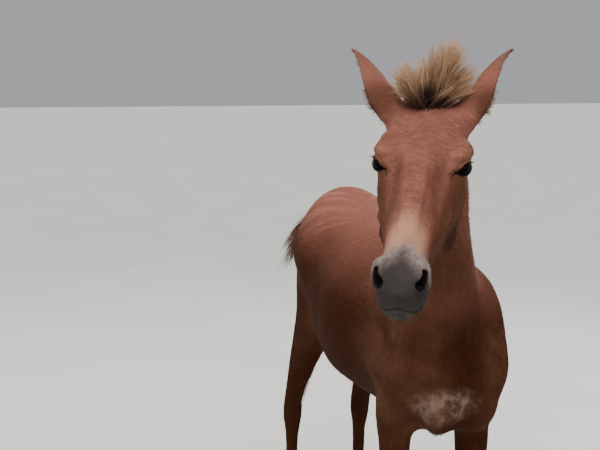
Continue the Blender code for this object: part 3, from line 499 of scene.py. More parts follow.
def flesh_shells():
    """Copies of the solids of flesh, with their hair drawn in and the eye sockets filled."""
    bm = bmesh.new()
    for node in FUSED:
        copy = bmesh.new()
        copy.from_mesh(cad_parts[node].data)
        bmesh.ops.remove_doubles(copy, verts=copy.verts, dist=1e-5)
        mesh = bpy.data.meshes.new(node + "_copy")
        copy.to_mesh(mesh)
        copy.free()
        if node in ("head", "neck"):
            place_points(mesh, hair_gathered(read(mesh.vertices, "co")))
        bm.from_mesh(mesh)
        bpy.data.meshes.remove(mesh)
    for centre, radii in filled_hollows():
        place = Matrix.Translation(centre) @ HEAD_TURN.to_4x4() @ Matrix.Diagonal((*radii, 1))
        bmesh.ops.create_icosphere(bm, subdivisions=3, radius=1.0, matrix=place)
    fill_under_hair(bm)
    return object_from_bmesh("flesh", bm)


def trunk_share(points):
    """1 on the trunk and neck, 0 on the head and the slim lower legs."""
    return rise(points[:, 2], 0.42, 0.72) * (1 - head_share(points))


def smooth_body():
    """A coarse, well smoothed copy of the body, to which the skin of the trunk is drawn."""
    body = remesh(flesh_shells(), BODY_VOXEL)
    points = read(body.data.vertices, "co")
    relax(body.data, 26, 0.12 + 0.88 * trunk_share(points), 0.57)
    modifier = body.modifiers.new("Round", "SUBSURF")
    modifier.levels = 1
    modifier.render_levels = 1
    return settle(body)


def fine_flesh():
    """The whole body as one skin, finer on the head than on the body."""
    skin = remesh(flesh_shells(), SKIN_VOXEL)
    points = read(skin.data.vertices, "co")
    relax(skin.data, 7, 1.0 - 0.35 * head_share(points), 0.60)
    body_share = (head_share(read(skin.data.vertices, "co")) < 0.5).astype(float)
    modifier = skin.modifiers.new("Lighten", "DECIMATE")
    modifier.ratio = SKIN_KEPT
    modifier.vertex_group = in_group(skin, "body", body_share)
    modifier.vertex_group_factor = 1.0
    settle(skin)
    skin.vertex_groups.clear()
    return skin


def drawn_to(skin, target):
    """The trunk's points moved onto the smooth body."""
    points = read(skin.data.vertices, "co")
    modifier = skin.modifiers.new("Draw", "SHRINKWRAP")
    modifier.target = target
    modifier.wrap_method = "NEAREST_SURFACEPOINT"
    modifier.vertex_group = in_group(skin, "trunk", trunk_share(points))
    settle(skin)
    skin.vertex_groups.clear()
    bpy.data.objects.remove(target)
    return skin


def coat_depth(points):
    """How far the skin lies inside the solids."""
    return 0.0018 + 0.0032 * (1 - head_share(points)) * rise(points[:, 2], 0.20, 0.60)


def eye_axes(hand):
    """Columns: towards the nose, up and outwards, for one eye."""
    out = head_way(hand * 0.80, 0.58, -0.14)
    along = head_way(0, 1, LID_SLANT)
    along = (along - out * along.dot(out)).normalized()
    upward = out.cross(along)
    upward = upward if upward.dot(head_way(0, 0, -1)) > 0 else -upward
    return np.array([along, upward, out]).T


def eye_middle(hand):
    """Middle of an eyeball, which bulges a little more than its solid."""
    return np.array(middle_of("eye_left" if hand > 0 else "eye_right") + head_way(hand, 0, 0) * EYE_BULGE)


def on_eyeball(points, hand):
    """Distances from an eye's middle, which points are in front, and places along and up the eyeball."""
    local = (points - eye_middle(hand)) @ eye_axes(hand)
    u, v = (np.arctan2(local[:, k], local[:, 2]) * EYE_RADIUS for k in (0, 1))
    return np.linalg.norm(local, axis=1), local[:, 2] > 0, u, v


def lid_edges(u):
    """Edges of the upper and the lower lid, along an almond."""
    t = np.clip(u / LID_HALF_LENGTH, -1, 1)
    arch = (1 - np.abs(t) ** 2.2) ** 0.85
    return LID_ABOVE * arch, -LID_BELOW * arch - 0.0012 * t


def lid_gap(u, v):
    """Signed distance outside the opening of the lids, measured on the eyeball, roughly in metres."""
    top, bottom = lid_edges(u)
    beyond = np.maximum(np.abs(u) - LID_HALF_LENGTH, 0)
    gap = np.maximum(v - top, bottom - v)
    return np.where(beyond > 0, np.hypot(beyond, np.maximum(gap, 0)), gap)


def open_lids(points):
    """An opening behind each eyeball's surface, with thick rims, a fold above and a bag below."""
    sunk = EYE_RADIUS - 0.0042
    for hand in SIDES.values():
        centre = eye_middle(hand)
        radius, front, u, v = on_eyeball(points, hand)
        gap = lid_gap(u, v)
        rim = EYE_RADIUS + LID_THICKNESS * (0.55 + 0.45 * rise(gap, 0.0004, 0.004))
        fold_above = bell(v - LID_ABOVE - 0.0075 + 0.9 * (u / 0.030) ** 2 * 0.006, 0, 0.0022)
        fold_above *= bell(u, 0, 0.022) * (v > 0)
        bag = bell(v + LID_BELOW + 0.0070, 0, 0.0028) * bell(u, 0, 0.018)
        settled = rise(gap, 0.003, 0.018)
        outside = rim * (1 - settled) + radius * settled
        outside = outside - 0.0022 * fold_above - 0.0010 * bag
        wanted = np.where(gap < 0, sunk, outside)
        edge = (gap >= 0) & (gap < 0.0012)
        wanted = np.where(edge, sunk + (outside - sunk) * rise(gap, 0, 0.0009), wanted)
        corner = np.exp(-(((u - LID_HALF_LENGTH - 0.0015) ** 2 + (v + 0.001) ** 2) / 0.0024**2))
        wanted = wanted - 0.0020 * corner * (gap > 0)
        scale = np.where((radius < 0.055) & front, wanted / np.maximum(radius, 1e-6), 1.0)
        points = centre + (points - centre) * scale[:, None]
    return points


def mouth_line():
    """Points of the line between the lips, from the left corner round the front to the right corner."""
    half = [
        (0.0440, 0.402, 0.1010),
        (0.0445, 0.428, 0.0990),
        (0.0420, 0.455, 0.0950),
        (0.0370, 0.482, 0.0890),
        (0.0290, 0.503, 0.0830),
        (0.0160, 0.516, 0.0780),
        (0.0000, 0.519, 0.0765),
    ]
    rows = half + [(-s, along, down) for s, along, down in reversed(half[:-1])]
    return np.array([on_head(*row) for row in smooth_path(rows, 8)])


MOUTH = mouth_line()


def mouth_distance(points, chosen):
    """Distances of the chosen points from the line between the lips, and 1 for the others."""
    away = np.full(len(points), 1.0)
    close = np.flatnonzero(chosen)
    if len(close):
        away[close] = np.linalg.norm(points[close][:, None, :] - MOUTH[None], axis=2).min(1)
    return away


# Strokes on the head: where they start and end (side, along, down), their radius and their height
HEAD_STROKES = (
    # temple hollow above the eye, and the brow's ridge
    ((0.088, 0.074, 0.018), (0.088, 0.114, 0.020), 0.021, -0.0058),
    ((0.092, 0.150, 0.030), (0.076, 0.184, 0.020), 0.009, 0.0032),
    ((0.056, 0.172, 0.012), (0.086, 0.150, 0.036), 0.004, -0.0014),
    ((0.048, 0.182, 0.012), (0.070, 0.186, 0.028), 0.004, -0.0012),
    # hollow in front of the eye beside the bridge, and the bridge's edge
    ((0.050, 0.205, 0.024), (0.040, 0.300, 0.022), 0.016, -0.0040),
    ((0.022, 0.190, 0.004), (0.016, 0.380, 0.012), 0.009, 0.0022),
    # the crest of the cheek and the hollow under it
    ((0.074, 0.200, 0.074), (0.066, 0.255, 0.080), 0.009, 0.0012),
    ((0.080, 0.248, 0.078), (0.076, 0.294, 0.080), 0.017, -0.0062),
    ((0.060, 0.320, 0.082), (0.054, 0.350, 0.082), 0.014, 0.0020),
    ((0.074, 0.250, 0.100), (0.050, 0.360, 0.104), 0.018, -0.0032),
    # round cheek, its rear edge and the jaw's lower edge
    ((0.084, 0.130, 0.130), (0.082, 0.180, 0.150), 0.030, 0.0022),
    ((0.070, 0.222, 0.156), (0.060, 0.285, 0.156), 0.024, 0.0080),
    ((0.070, 0.062, 0.100), (0.060, 0.070, 0.180), 0.012, -0.0035),
    # veins down the face
    ((0.058, 0.215, 0.050), (0.050, 0.300, 0.052), 0.0030, 0.0011),
    ((0.050, 0.300, 0.052), (0.046, 0.362, 0.074), 0.0030, 0.0011),
    ((0.072, 0.262, 0.096), (0.056, 0.330, 0.092), 0.0032, 0.0009),
    # wings of the nostrils, and the groove behind them
    ((0.026, 0.448, 0.014), (0.036, 0.470, 0.018), 0.009, 0.0016),
    ((0.050, 0.455, 0.040), (0.044, 0.490, 0.060), 0.018, -0.0034),
    ((0.050, 0.430, 0.030), (0.052, 0.450, 0.060), 0.009, -0.0022),
    ((0.024, 0.495, 0.040), (0.020, 0.515, 0.060), 0.010, -0.0014),
    # full lips and the chin's pad
    ((0.018, 0.518, 0.066), (0.034, 0.498, 0.074), 0.008, 0.0016),
    ((0.016, 0.516, 0.096), (0.032, 0.486, 0.102), 0.009, 0.0018),
    ((0.000, 0.490, 0.138), (0.010, 0.450, 0.146), 0.024, -0.0050),
    ((0.000, 0.512, 0.118), (0.022, 0.500, 0.118), 0.006, -0.0018),
    ((0.040, 0.412, 0.100), (0.047, 0.398, 0.096), 0.007, -0.0026),
    # muscle from the ear's root to the brow, and the forehead's middle
    ((0.060, 0.050, 0.008), (0.048, 0.110, -0.002), 0.012, 0.0022),
    ((0.000, 0.070, -0.006), (0.000, 0.150, -0.008), 0.012, 0.0012),
)

# The same on one side only: the brows, which differ, and the left of the muzzle
ONE_SIDED_STROKES = (
    ((-0.094, 0.126, 0.010), (-0.093, 0.146, 0.020), 0.013, -0.0110),
    ((-0.083, 0.104, 0.024), (-0.081, 0.118, 0.024), 0.010, 0.0035),
    ((0.098, 0.154, 0.036), (0.098, 0.168, 0.050), 0.013, 0.0038),
    ((0.042, 0.476, 0.066), (0.038, 0.500, 0.080), 0.015, 0.0080),
)

# Strokes on the body, in its own frame, on both sides
BODY_STROKES = (
    # groove of the jugular, and the neck's muscles above it
    ((-0.060, -0.030, 1.300), (0.060, 0.060, 1.060), 0.016, -0.0040),
    # front edge of the shoulder blade and its spine
    ((0.092, 0.150, 1.080), (0.070, 0.250, 1.200), 0.020, -0.0050),
    ((0.125, 0.190, 1.000), (0.090, 0.280, 1.170), 0.014, 0.0030),
    # hollow behind the shoulder and elbow
    ((0.150, 0.345, 0.900), (0.140, 0.370, 1.080), 0.030, -0.0060),
    ((0.130, 0.320, 0.790), (0.140, 0.345, 0.860), 0.022, -0.0050),
    # between breast and arm
    ((0.105, 0.040, 0.940), (0.090, 0.060, 0.800), 0.014, -0.0070),
    ((0.000, -0.005, 0.960), (0.000, 0.030, 0.770), 0.016, -0.0080),
    # flank's hollow, and the fold to the stifle
    ((0.140, 0.760, 1.080), (0.150, 0.790, 0.960), 0.045, -0.0080),
    ((0.140, 0.720, 0.820), (0.140, 0.790, 0.760), 0.016, 0.0040),
    # hip and the line between thigh and buttock
    ((0.105, 0.900, 1.160), (0.125, 0.880, 1.110), 0.022, 0.0040),
    ((0.135, 1.040, 1.060), (0.130, 1.010, 0.820), 0.016, -0.0050),
    ((0.110, 1.085, 1.040), (0.112, 1.060, 0.880), 0.022, 0.0030),
    # gaskin's edge
    ((0.150, 0.930, 0.720), (0.150, 1.010, 0.620), 0.012, -0.0025),
    # bones and tendons of the knees and hocks, and the cannon's groove
    ((0.140, 0.170, 0.395), (0.140, 0.180, 0.360), 0.012, 0.0022),
    ((0.130, 0.215, 0.330), (0.128, 0.218, 0.200), 0.006, -0.0022),
    ((0.074, 0.215, 0.330), (0.082, 0.218, 0.200), 0.006, -0.0022),
    ((0.150, 1.086, 0.420), (0.148, 1.090, 0.230), 0.006, -0.0022),
    ((0.102, 1.086, 0.420), (0.104, 1.090, 0.230), 0.006, -0.0022),
    ((0.152, 1.070, 0.560), (0.150, 1.085, 0.500), 0.008, -0.0030),
    ((0.106, 0.222, 0.140), (0.106, 0.215, 0.110), 0.012, -0.0030),
    ((0.126, 1.098, 0.150), (0.126, 1.080, 0.118), 0.012, -0.0030),
)


def stroke(points, normals, start, end, radius, height):
    """Raises, or sinks, the skin along a line."""
    start, end = np.array(start), np.array(end)
    line = end - start
    share = np.clip(((points - start) @ line) / (line @ line), 0, 1)
    away = np.linalg.norm(points - start - share[:, None] * line, axis=1)
    fade = bell(away, 0, radius) * (0.55 + 0.45 * np.sin(np.pi * np.clip(share, 0.12, 0.88)))
    return points + normals * (height * fade)[:, None]


def mesh_normals(mesh):
    return read(mesh.vertex_normals, "vector")


def stroked(points, normals, strokes, place):
    """Strokes on both sides, of which place finds the ends."""
    for start, end, radius, height in strokes:
        share = 0.5 if start[0] == 0 and end[0] == 0 else 1.0
        for hand in SIDES.values():
            first, second = (place(hand * side, *rest) for side, *rest in (start, end))
            points = stroke(points, normals, first, second, radius, height * share)
    return points


def sculpt(mesh):
    """Bones, muscles, veins and folds, stroke by stroke."""
    points, normals = read(mesh.vertices, "co"), mesh_normals(mesh)
    head = head_share(points) > 0.0
    on, way = points[head], normals[head]
    on = stroked(on, way, HEAD_STROKES, on_head)
    for start, end, radius, height in ONE_SIDED_STROKES:
        on = stroke(on, way, on_head(*start), on_head(*end), radius, height)
    points[head] = on
    points[~head] = stroked(points[~head], normals[~head], BODY_STROKES, on_flank)
    place_points(mesh, points)


def nostril_distance(points, hand):
    """Distance from a nostril's slanted slit, in its own half widths, and the way out of it."""
    shift = NOSTRIL_SHIFT[hand]
    upper, lower = (np.array(on_head(hand * (side - shift), *rest)) for side, *rest in NOSTRIL)
    line = lower - upper
    share = np.clip(((points - upper) @ line) / (line @ line), 0, 1)
    offset = points - upper - share[:, None] * line
    out = np.array(head_way(hand * 0.75, 0.62, 0.05))
    flat = offset - (offset @ out)[:, None] * out
    half = NOSTRIL_WIDTH[0] + (NOSTRIL_WIDTH[1] - NOSTRIL_WIDTH[0]) * share
    away = np.linalg.norm(flat, axis=1) / half
    return np.where(np.abs(offset @ out) < 0.030, away, 9.0), out


def open_nostrils(points):
    """A deep slanted slit with a full rim on each side of the muzzle."""
    for hand in SIDES.values():
        away, out = nostril_distance(points, hand)
        inward = -out * 0.55 + np.array(head_way(-hand * 0.45, -0.45, 0.65)) * 0.45
        depth = NOSTRIL_DEPTH * (1 - rise(away, 0.25, 1.05))
        rim = 0.0016 * bell(away, 1.45, 0.40)
        points = points + inward * depth[:, None] + out * rim[:, None]
    return points


def settle_mouth(mesh):
    """Puts the line between the lips onto the skin."""
    surface = BVHTree.FromPolygons([v.co for v in mesh.vertices], [p.vertices for p in mesh.polygons])
    for k, point in enumerate(MOUTH):
        MOUTH[k] = surface.find_nearest(Vector(point))[0]


def wrinkle(mesh):
    """Brow wrinkles above the eyes, the mouth's groove and the lips' edges."""
    points, normals = read(mesh.vertices, "co"), mesh_normals(mesh)
    side, along, down = head_coordinates(points).T
    side = np.abs(side)
    spread = ((side - 0.060) / 0.022) ** 2 + ((along - 0.140) / 0.020) ** 2 + ((down - 0.018) / 0.024) ** 2
    brow, ripples = np.exp(-spread), np.sin((along * 0.9 + side * 0.35) * 2 * np.pi / 0.0085)
    away = mouth_distance(points, (along > 0.37) & (down > 0.06) & (head_share(points) > 0.5))
    height = 0.0010 * brow * ripples - 0.0026 * bell(away, 0, 0.0024) + 0.0007 * bell(away, 0.0075, 0.0040)
    place_points(mesh, points + normals * height[:, None])


def ear_depth(along, angle):
    """How far the ear's wall lies towards the skull, in radii: its roll is flatter above its root."""
    flat = 0.30 * rise(along, 0.04, 0.34)
    return (1 - flat) * np.cos(angle) - 0.35 - 0.24 * flat


def ear_shell(hand):
    """One ear: a long leaf rolled into a cup, with a wall and a soft rim."""
    root, tip_way, open_way, across = ear_axes(hand)
    columns = 20
    bm = bmesh.new()
    grid = []
    for along, half, arc, bow in smooth_path(EAR, 6):
        middle = root + tip_way * EAR_LENGTH * along - open_way * EAR_LENGTH * bow
        radius = float(EAR_WIDTH * half / max(math.sin(math.radians(min(arc, 90))), 0.5))
        line = []
        for k in range(columns + 1):
            angle = math.radians(arc) * (2 * k / columns - 1)
            depth = float(ear_depth(along, angle))
            line.append(bm.verts.new(middle + (across * math.sin(angle) - open_way * depth) * radius))
        grid.append(line)
    for near, far in zip(grid, grid[1:]):
        for i in range(columns):
            bm.faces.new((near[i], near[i + 1], far[i + 1], far[i]))
    bmesh.ops.recalc_face_normals(bm, faces=bm.faces)
    shell = object_from_bmesh("ear_leaf", bm)
    wall = shell.modifiers.new("Wall", "SOLIDIFY")
    wall.thickness = EAR_WALL
    wall.offset = 0.0
    wall.use_even_offset = False
    wall.use_rim = True
    return settle(shell)


def union(obj, other):
    """Joins another object onto the first."""
    modifier = obj.modifiers.new("Join", "BOOLEAN")
    modifier.operation = "UNION"
    modifier.solver = "MANIFOLD"
    modifier.object = other
    settle(obj)
    bpy.data.objects.remove(other)
    return obj


def near_ear_root(points):
    """1 at the feet of the ears, falling to 0 round them."""
    share = np.zeros(len(points))
    for hand in SIDES.values():
        root = np.array(on_head(hand * EAR_ROOT[0], EAR_ROOT[1], EAR_ROOT[2] + 0.004))
        away = np.linalg.norm(points - root, axis=1)
        share = np.maximum(share, 1 - rise(away, EAR_REACH * 0.55, EAR_REACH))
    return share


def near_features(middles):
    """Faces round the eyes, and on the muzzle."""
    chosen = np.zeros(len(middles), bool)
    for hand in SIDES.values():
        front = eye_middle(hand) + eye_axes(hand)[:, 2] * EYE_RADIUS
        chosen |= np.linalg.norm(middles - front, axis=1) < FINE_EYE
    _, along, down = head_coordinates(middles).T
    return chosen | ((along > FINE_MUZZLE) & (down < 0.20) & (middles[:, 2] > 1.10))


def near_mouth_or_eye(middles):
    """Faces along the lips, and along the lids' edges."""
    near_nose = (head_coordinates(middles)[:, 1] > 0.36) & (middles[:, 2] > 1.10)
    chosen = mouth_distance(middles, near_nose) < 0.010
    for hand in SIDES.values():
        radius, front, u, v = on_eyeball(middles, hand)
        chosen |= (radius < 0.036) & front & (np.abs(lid_gap(u, v)) < 0.0045)
    return chosen


def crown_share(points):
    """1 where the skin is smoothed: across the crown under the forelock, partly on temples and muzzle."""
    side, along, down = head_coordinates(points).T
    side = np.abs(side)
    crown = rise(along, -0.06, -0.03) * fall(along, 0.095, 0.125) * fall(side, 0.048, 0.064)
    temples = rise(along, 0.060, 0.080) * fall(along, 0.125, 0.150) * rise(side, 0.045, 0.060)
    temples = 0.25 * temples * fall(down, 0.050, 0.075)
    crease = 0.7 * np.exp(-((side - 0.0225) ** 2 + (along - 0.460) ** 2 + (down - 0.014) ** 2) / 0.009**2)
    softer = np.maximum(temples, crease)
    return np.maximum(crown * fall(down, 0.025, 0.040), softer) * (head_share(points) > 0.3)


def make_skin():
    """One seamless skin over head, neck, trunk, legs and ears, with the face's details."""
    skin = drawn_to(fine_flesh(), smooth_body())
    skin.name = "skin"
    mesh = skin.data
    points = read(mesh.vertices, "co")
    place_points(mesh, points - mesh_normals(mesh) * coat_depth(points)[:, None])
    relax(mesh, 60, crown_share(read(mesh.vertices, "co")))
    refine(mesh, near_features)
    sculpt(mesh)
    relax(mesh, 1, 0.6 * np.ones(len(mesh.vertices)))
    settle_mouth(mesh)
    refine(mesh, near_mouth_or_eye)
    wrinkle(mesh)
    place_points(mesh, open_nostrils(open_lids(read(mesh.vertices, "co"))))
    for hand in SIDES.values():
        union(skin, ear_shell(hand))
    mesh = skin.data
    relax(mesh, 8, near_ear_root(read(mesh.vertices, "co")))
    add_values(mesh, "bare", bare(read(mesh.vertices, "co")))
    mesh.shade_smooth()
    return skin


# ---------------------------------------------------------------- hair as fine closed strands

CHART_PATCH = 0.003
CHART_CELLS = (4, 3)  # two halves of the animal by six ways to face


def strand_mesh(name, path, across, rise_way, width, thick, soft, uv, tint):
    """Tapered three-sided strands: path (N, K + 1, 3) from root to tip, the rest per ring (N, K)."""
    count, rings = width.shape
    half = across * 0.5 * width[..., None]
    ring = path[:, :-1, None, :] + np.stack([-half, half, rise_way * thick[..., None]], axis=2)
    points = np.concatenate([ring.reshape(count, rings * 3, 3), path[:, -1:, :]], axis=1)
    size = rings * 3 + 1
    faces = [[0, 1, 2]]
    for k in range(rings - 1):
        for i in range(3):
            a, b = k * 3 + i, k * 3 + (i + 1) % 3
            faces.append([a, a + 3, b + 3, b])
    faces += [[rings * 3 - 3 + i, size - 1, rings * 3 - 3 + (i + 1) % 3] for i in range(3)]
    flat = np.array([v for face in faces for v in face])
    lengths = np.array([len(face) for face in faces])
    starts = np.concatenate([[0], np.cumsum(lengths)[:-1]])
    order = np.arange(count)[:, None]
    mesh = bpy.data.meshes.new(name)
    mesh.vertices.add(count * size)
    mesh.loops.add(count * len(flat))
    mesh.polygons.add(count * len(faces))
    mesh.vertices.foreach_set("co", points.astype(np.float32).ravel())
    mesh.loops.foreach_set("vertex_index", (order * size + flat).astype(np.int32).ravel())
    mesh.polygons.foreach_set("loop_start", (order * len(flat) + starts).astype(np.int32).ravel())
    mesh.update(calc_edges=True)
    mesh.shade_smooth()

    level = np.append(np.repeat(np.arange(rings) / rings, 3), 1.0)
    add_values(mesh, "tip", np.tile(level, count))
    add_values(mesh, "tint", np.repeat(tint, size))

    # each strand has its own small patch on the chart
    turn = np.append(np.tile([-0.5, 0.5, 0.0], rings), 0.0)
    patch = np.stack([turn, level - 0.5], axis=1) * CHART_PATCH
    layer = mesh.uv_layers.new(name="OFBake")
    corners = (uv[:, None, :] + patch[flat][None]).astype(np.float32)
    layer.data.foreach_set("uv", corners.ravel())

    if soft is not None:
        own = unit(points - path.repeat([3] * rings + [1], axis=1))
        own[:, -1] = unit(path[:, -1] - path[:, -2])
        blended = unit(soft[:, None, :] * 2.2 + own).reshape(-1, 3)
        mesh.normals_split_custom_set_from_vertices(blended.tolist())
    return new_object(name, mesh)


def chart(points, normals):
    """Places on an unwrap of the skin, with a cell for each way to face, left and right."""
    low, high = points.min(0), points.max(0)
    reach = (high - low).max()
    rest = (points - low) / reach
    axis = np.abs(normals).argmax(1)
    facing = np.take_along_axis(normals, axis[:, None], 1)[:, 0] > 0
    middle = points[:, 0] > BODY_PLACE.x
    cell = axis + 3 * facing + 6 * middle
    rows = np.arange(len(points))
    u, v = rest[rows, (axis + 1) % 3], rest[rows, (axis + 2) % 3]
    columns, lines = CHART_CELLS
    across, up = cell % columns + 0.04 + 0.92 * u, cell // columns + 0.04 + 0.92 * v
    return np.stack([across / columns, up / lines], axis=1)


def ear_axes(hand):
    """Root, the way to the tip, the way the ear opens and the way across it."""
    up, side = Vector((0, 0, 1)), head_way(1, 0, 0)
    back = Vector((math.sin(HEAD_YAW), math.cos(HEAD_YAW), 0.0))
    tip_way = (up * 0.127 + side * hand * EAR_SPREAD[hand] + back * 0.122).normalized()
    open_way = side * hand * 0.92 + back * 0.38 - up * 0.2
    open_way = (open_way - tip_way * open_way.dot(tip_way)).normalized()
    root = on_head(hand * EAR_ROOT[0], *EAR_ROOT[1:])
    return root, tip_way, open_way, tip_way.cross(open_way)


def along_ear(points, hand):
    """Shares of an ear's length, which points are round the ear, and the way to its tip."""
    root, tip_way, _, _ = (np.array(v) for v in ear_axes(hand))
    offset = points - root
    t = offset @ tip_way / EAR_LENGTH
    aside = np.linalg.norm(offset - t[:, None] * EAR_LENGTH * tip_way, axis=1)
    return t, aside < 0.062, tip_way


def wobble(points, scale, phase):
    """Smooth waves through space, from -1 to 1."""
    x, y, z = (points * scale).T
    waves = np.sin(x + 1.7 * np.sin(0.7 * y + phase)) + np.sin(y * 1.1 + 1.3 * np.sin(z + phase))
    return (waves + np.sin(z * 0.9 + 1.5 * np.sin(0.8 * x - phase))) / 3


def lie_of_coat(points, normals):
    """The way the hair lies: back along the trunk, down the legs, away from the forehead's whorl."""
    side, onward, height = body_coordinates(points).T
    side, zero = np.sign(side), 0 * side

    def blend(way, other, share):
        return way * (1 - share[:, None]) + other * share[:, None]

    way = np.stack([zero, 1 + zero, -0.10 - 0.55 * np.abs(normals[:, 0])], axis=1)
    way = blend(way, np.array([0, 0.45, -1.0]), rise(onward, 0.85, 1.10))
    nearest, _ = nearest_on_crest(points, 4)
    down_neck = unit(-CREST_ONWARD[nearest] - 0.55 * CREST_UP[nearest])
    way = blend(way, down_neck, 1 - rise(onward, 0.10, 0.34))
    breast = rise(-normals[:, 1], 0.25, 0.75) * fall(height, 0.98, 1.12)
    way = blend(way, np.stack([0.40 * side, zero, -1 + zero], axis=1), breast)
    way = blend(way, np.array([0, 0.10, -1.0]), fall(height, 0.62, 0.80))
    across, nose, down = head_coordinates(points).T
    front = unit(np.stack([across * 1.2, nose - 0.150, zero], axis=1))
    front = front + np.array([0, 0.35, 0]) * rise(nose, 0.10, 0.20)[:, None]
    beside = np.array([0, 0.10, 1.0]) - np.array([0, 0.9, 0]) * fall(nose, 0.06, 0.16)[:, None]
    on_face = blend(front, beside, rise(down, 0.040, 0.095))
    on_face = (on_face * np.array([1, 1, -1])) @ np.array(HEAD_TURN).T
    way = blend(way, on_face, head_share(points))
    for hand in SIDES.values():
        t, near, tip_way = along_ear(points, hand)
        way = blend(way, tip_way, rise(t, -0.05, 0.15) * near)
    return tangent(way, normals)


def tangent(way, normals):
    """A way laid onto the skin."""
    return unit(way - normals * (way * normals).sum(1)[:, None])


# Each part of the coat: how many tufts, their length and width, and how far they stand out
COAT = {
    "coat_head": (46000, 0.0060, 0.00072, 0.13),
    "coat_ears": (15000, 0.0060, 0.00070, 0.14),
    "coat_neck": (36000, 0.0120, 0.00140, 0.09),
    "coat_shoulders": (38000, 0.0140, 0.00160, 0.08),
    "coat_trunk": (35000, 0.0160, 0.00180, 0.07),
    "coat_rump": (40000, 0.0150, 0.00165, 0.08),
    "coat_forelegs": (20000, 0.0100, 0.00130, 0.09),
    "coat_hindlegs": (27000, 0.0105, 0.00135, 0.09),
}


def coat_parts(points):
    """Which part of the coat each point belongs to."""
    _, along, height = body_coordinates(points).T
    part = np.full(len(points), "coat_trunk", dtype="<U16")
    part[along < 0.42] = "coat_shoulders"
    part[along > 0.80] = "coat_rump"
    part[(along < 0.22) & (height > 1.02)] = "coat_neck"
    part[(height < 0.66) & (along < 0.55)] = "coat_forelegs"
    part[(height < 0.66) & (along > 0.55)] = "coat_hindlegs"
    part[head_share(points) > 0.5] = "coat_head"
    for hand in SIDES.values():
        t, near, _ = along_ear(points, hand)
        part[(t > 0.02) & (t < 1.1) & near] = "coat_ears"
    return part


def bare(points):
    """1 where no hair grows: inside the lids, in the nostrils, on the lips' line."""
    none = np.zeros(len(points))
    for hand in SIDES.values():
        radius, front, u, v = on_eyeball(points, hand)
        near = (radius < 0.040) & front
        none = np.maximum(none, near * (1 - rise(lid_gap(u, v), 0.0018, 0.0052)))
        none = np.maximum(none, 1 - rise(nostril_distance(points, hand)[0], 0.9, 1.25))
    _, nose, down = head_coordinates(points).T
    away = mouth_distance(points, (nose > 0.37) & (down > 0.06) & (head_share(points) > 0.5))
    none = np.maximum(none, 0.55 - 0.55 * rise(away, 0.0015, 0.0038))
    height = body_coordinates(points)[:, 2]
    return np.maximum(none, 1 - rise(height, HOOF_HEIGHT - 0.022, HOOF_HEIGHT - 0.012))


def scatter(skin, rng):
    """Places on the skin: points, normals and the part of the coat, drawn by area within each part."""
    mesh = skin.data
    mesh.calc_loop_triangles()
    corners = np.empty(len(mesh.loop_triangles) * 3, np.int32)
    mesh.loop_triangles.foreach_get("vertices", corners)
    corners = corners.reshape(-1, 3)
    points, normals = read(mesh.vertices, "co"), mesh_normals(mesh)
    a, b, c = (points[corners[:, k]] for k in range(3))
    area = np.linalg.norm(np.cross(b - a, c - a), axis=1) / 2
    middle = (a + b + c) / 3
    part = coat_parts(middle)
    area = area * (1 - bare(middle)) * thickness_of_coat(middle)
    picks = []
    for name, (count, *_) in COAT.items():
        share = np.where(part == name, area, 0)
        picks.append(rng.choice(len(area), count, p=share / share.sum()))
    picks = np.concatenate(picks)
    r, s = np.sqrt(rng.random(len(picks))), rng.random(len(picks))
    weights = np.stack([1 - r, r * (1 - s), r * s], axis=1)[:, :, None]
    rows = corners[picks]
    return (points[rows] * weights).sum(1), unit((normals[rows] * weights).sum(1)), part[picks]


def thickness_of_coat(points):
    """Denser on the face."""
    _, nose, down = head_coordinates(points).T
    return 1.0 + head_share(points) * (0.8 * (nose > 0.08) * fall(down, 0.04, 0.12))


def coat_length(points, normals):
    """How long the hair is, as a share of its part's length."""
    _, along, height = body_coordinates(points).T
    _, nose, down = head_coordinates(points).T
    head = head_share(points)
    behind = rise(normals[:, 1], 0.2, 0.8)
    share = np.ones(len(points))
    share += 0.55 * rise(-normals[:, 2], 0.2, 0.8) * rise(height, 0.55, 0.70) * (1 - head)
    share += 0.70 * rise(normals[:, 1], 0.3, 0.8) * rise(along, 1.00, 1.08)
    share += 0.60 * behind * fall(height, 0.60, 0.75)
    share += 1.3 * head * rise(down, 0.11, 0.19) * fall(nose, 0.22, 0.32)
    share -= 0.45 * head * rise(nose, 0.34, 0.42)
    share -= 0.25 * head * fall(down, 0.02, 0.05)
    share += 1.6 * (bell(height, 0.130, 0.030) * behind) + 0.8 * bell(height, 0.070, 0.014)
    return share


def growing(roots, ways, lengths, rings, drift):
    """Paths that leave their roots one way and drift towards another."""
    points, way = roots, unit(ways)
    path = [points]
    for _ in range(rings):
        points = points + way * (lengths / rings)[:, None]
        path.append(points)
        way = unit(way + drift / rings)
    return np.stack(path, axis=1)


def bundled(name, guides, rng):
    """Strands round each guide, close at one end and loose at the other."""
    each, root_spread, tip_spread, stray = LOCKS[name]
    count, points = guides.shape[0] * each, guides.shape[1]
    path = np.repeat(guides, each, axis=0)
    level = np.linspace(0, 1, points)[None, :, None]
    offset = rng.normal(size=(count, 1, 3))
    loose = rng.normal(size=(count, 1, 3)) * (rng.random((count, 1, 1)) ** 2)
    path = path + offset * (root_spread * (1 - level) + tip_spread * level) + loose * stray * level**1.6
    shorter = 1 - 0.30 * rng.random((count, 1, 1)) ** 1.5
    return path[:, :1] + (path - path[:, :1]) * shorter


def curl(path, reach, rng):
    """Loose waves that grow towards the tips."""
    level = np.linspace(0, 1, path.shape[1])[None, :, None]
    phase = math.tau * rng.random((len(path), 1, 1)) + 2.5 * path[:, :1].sum(2, keepdims=True) / 0.02
    way = unit(rng.normal(size=(len(path), 1, 3)))
    return reach * level * np.sin(7.5 * level + phase) * way


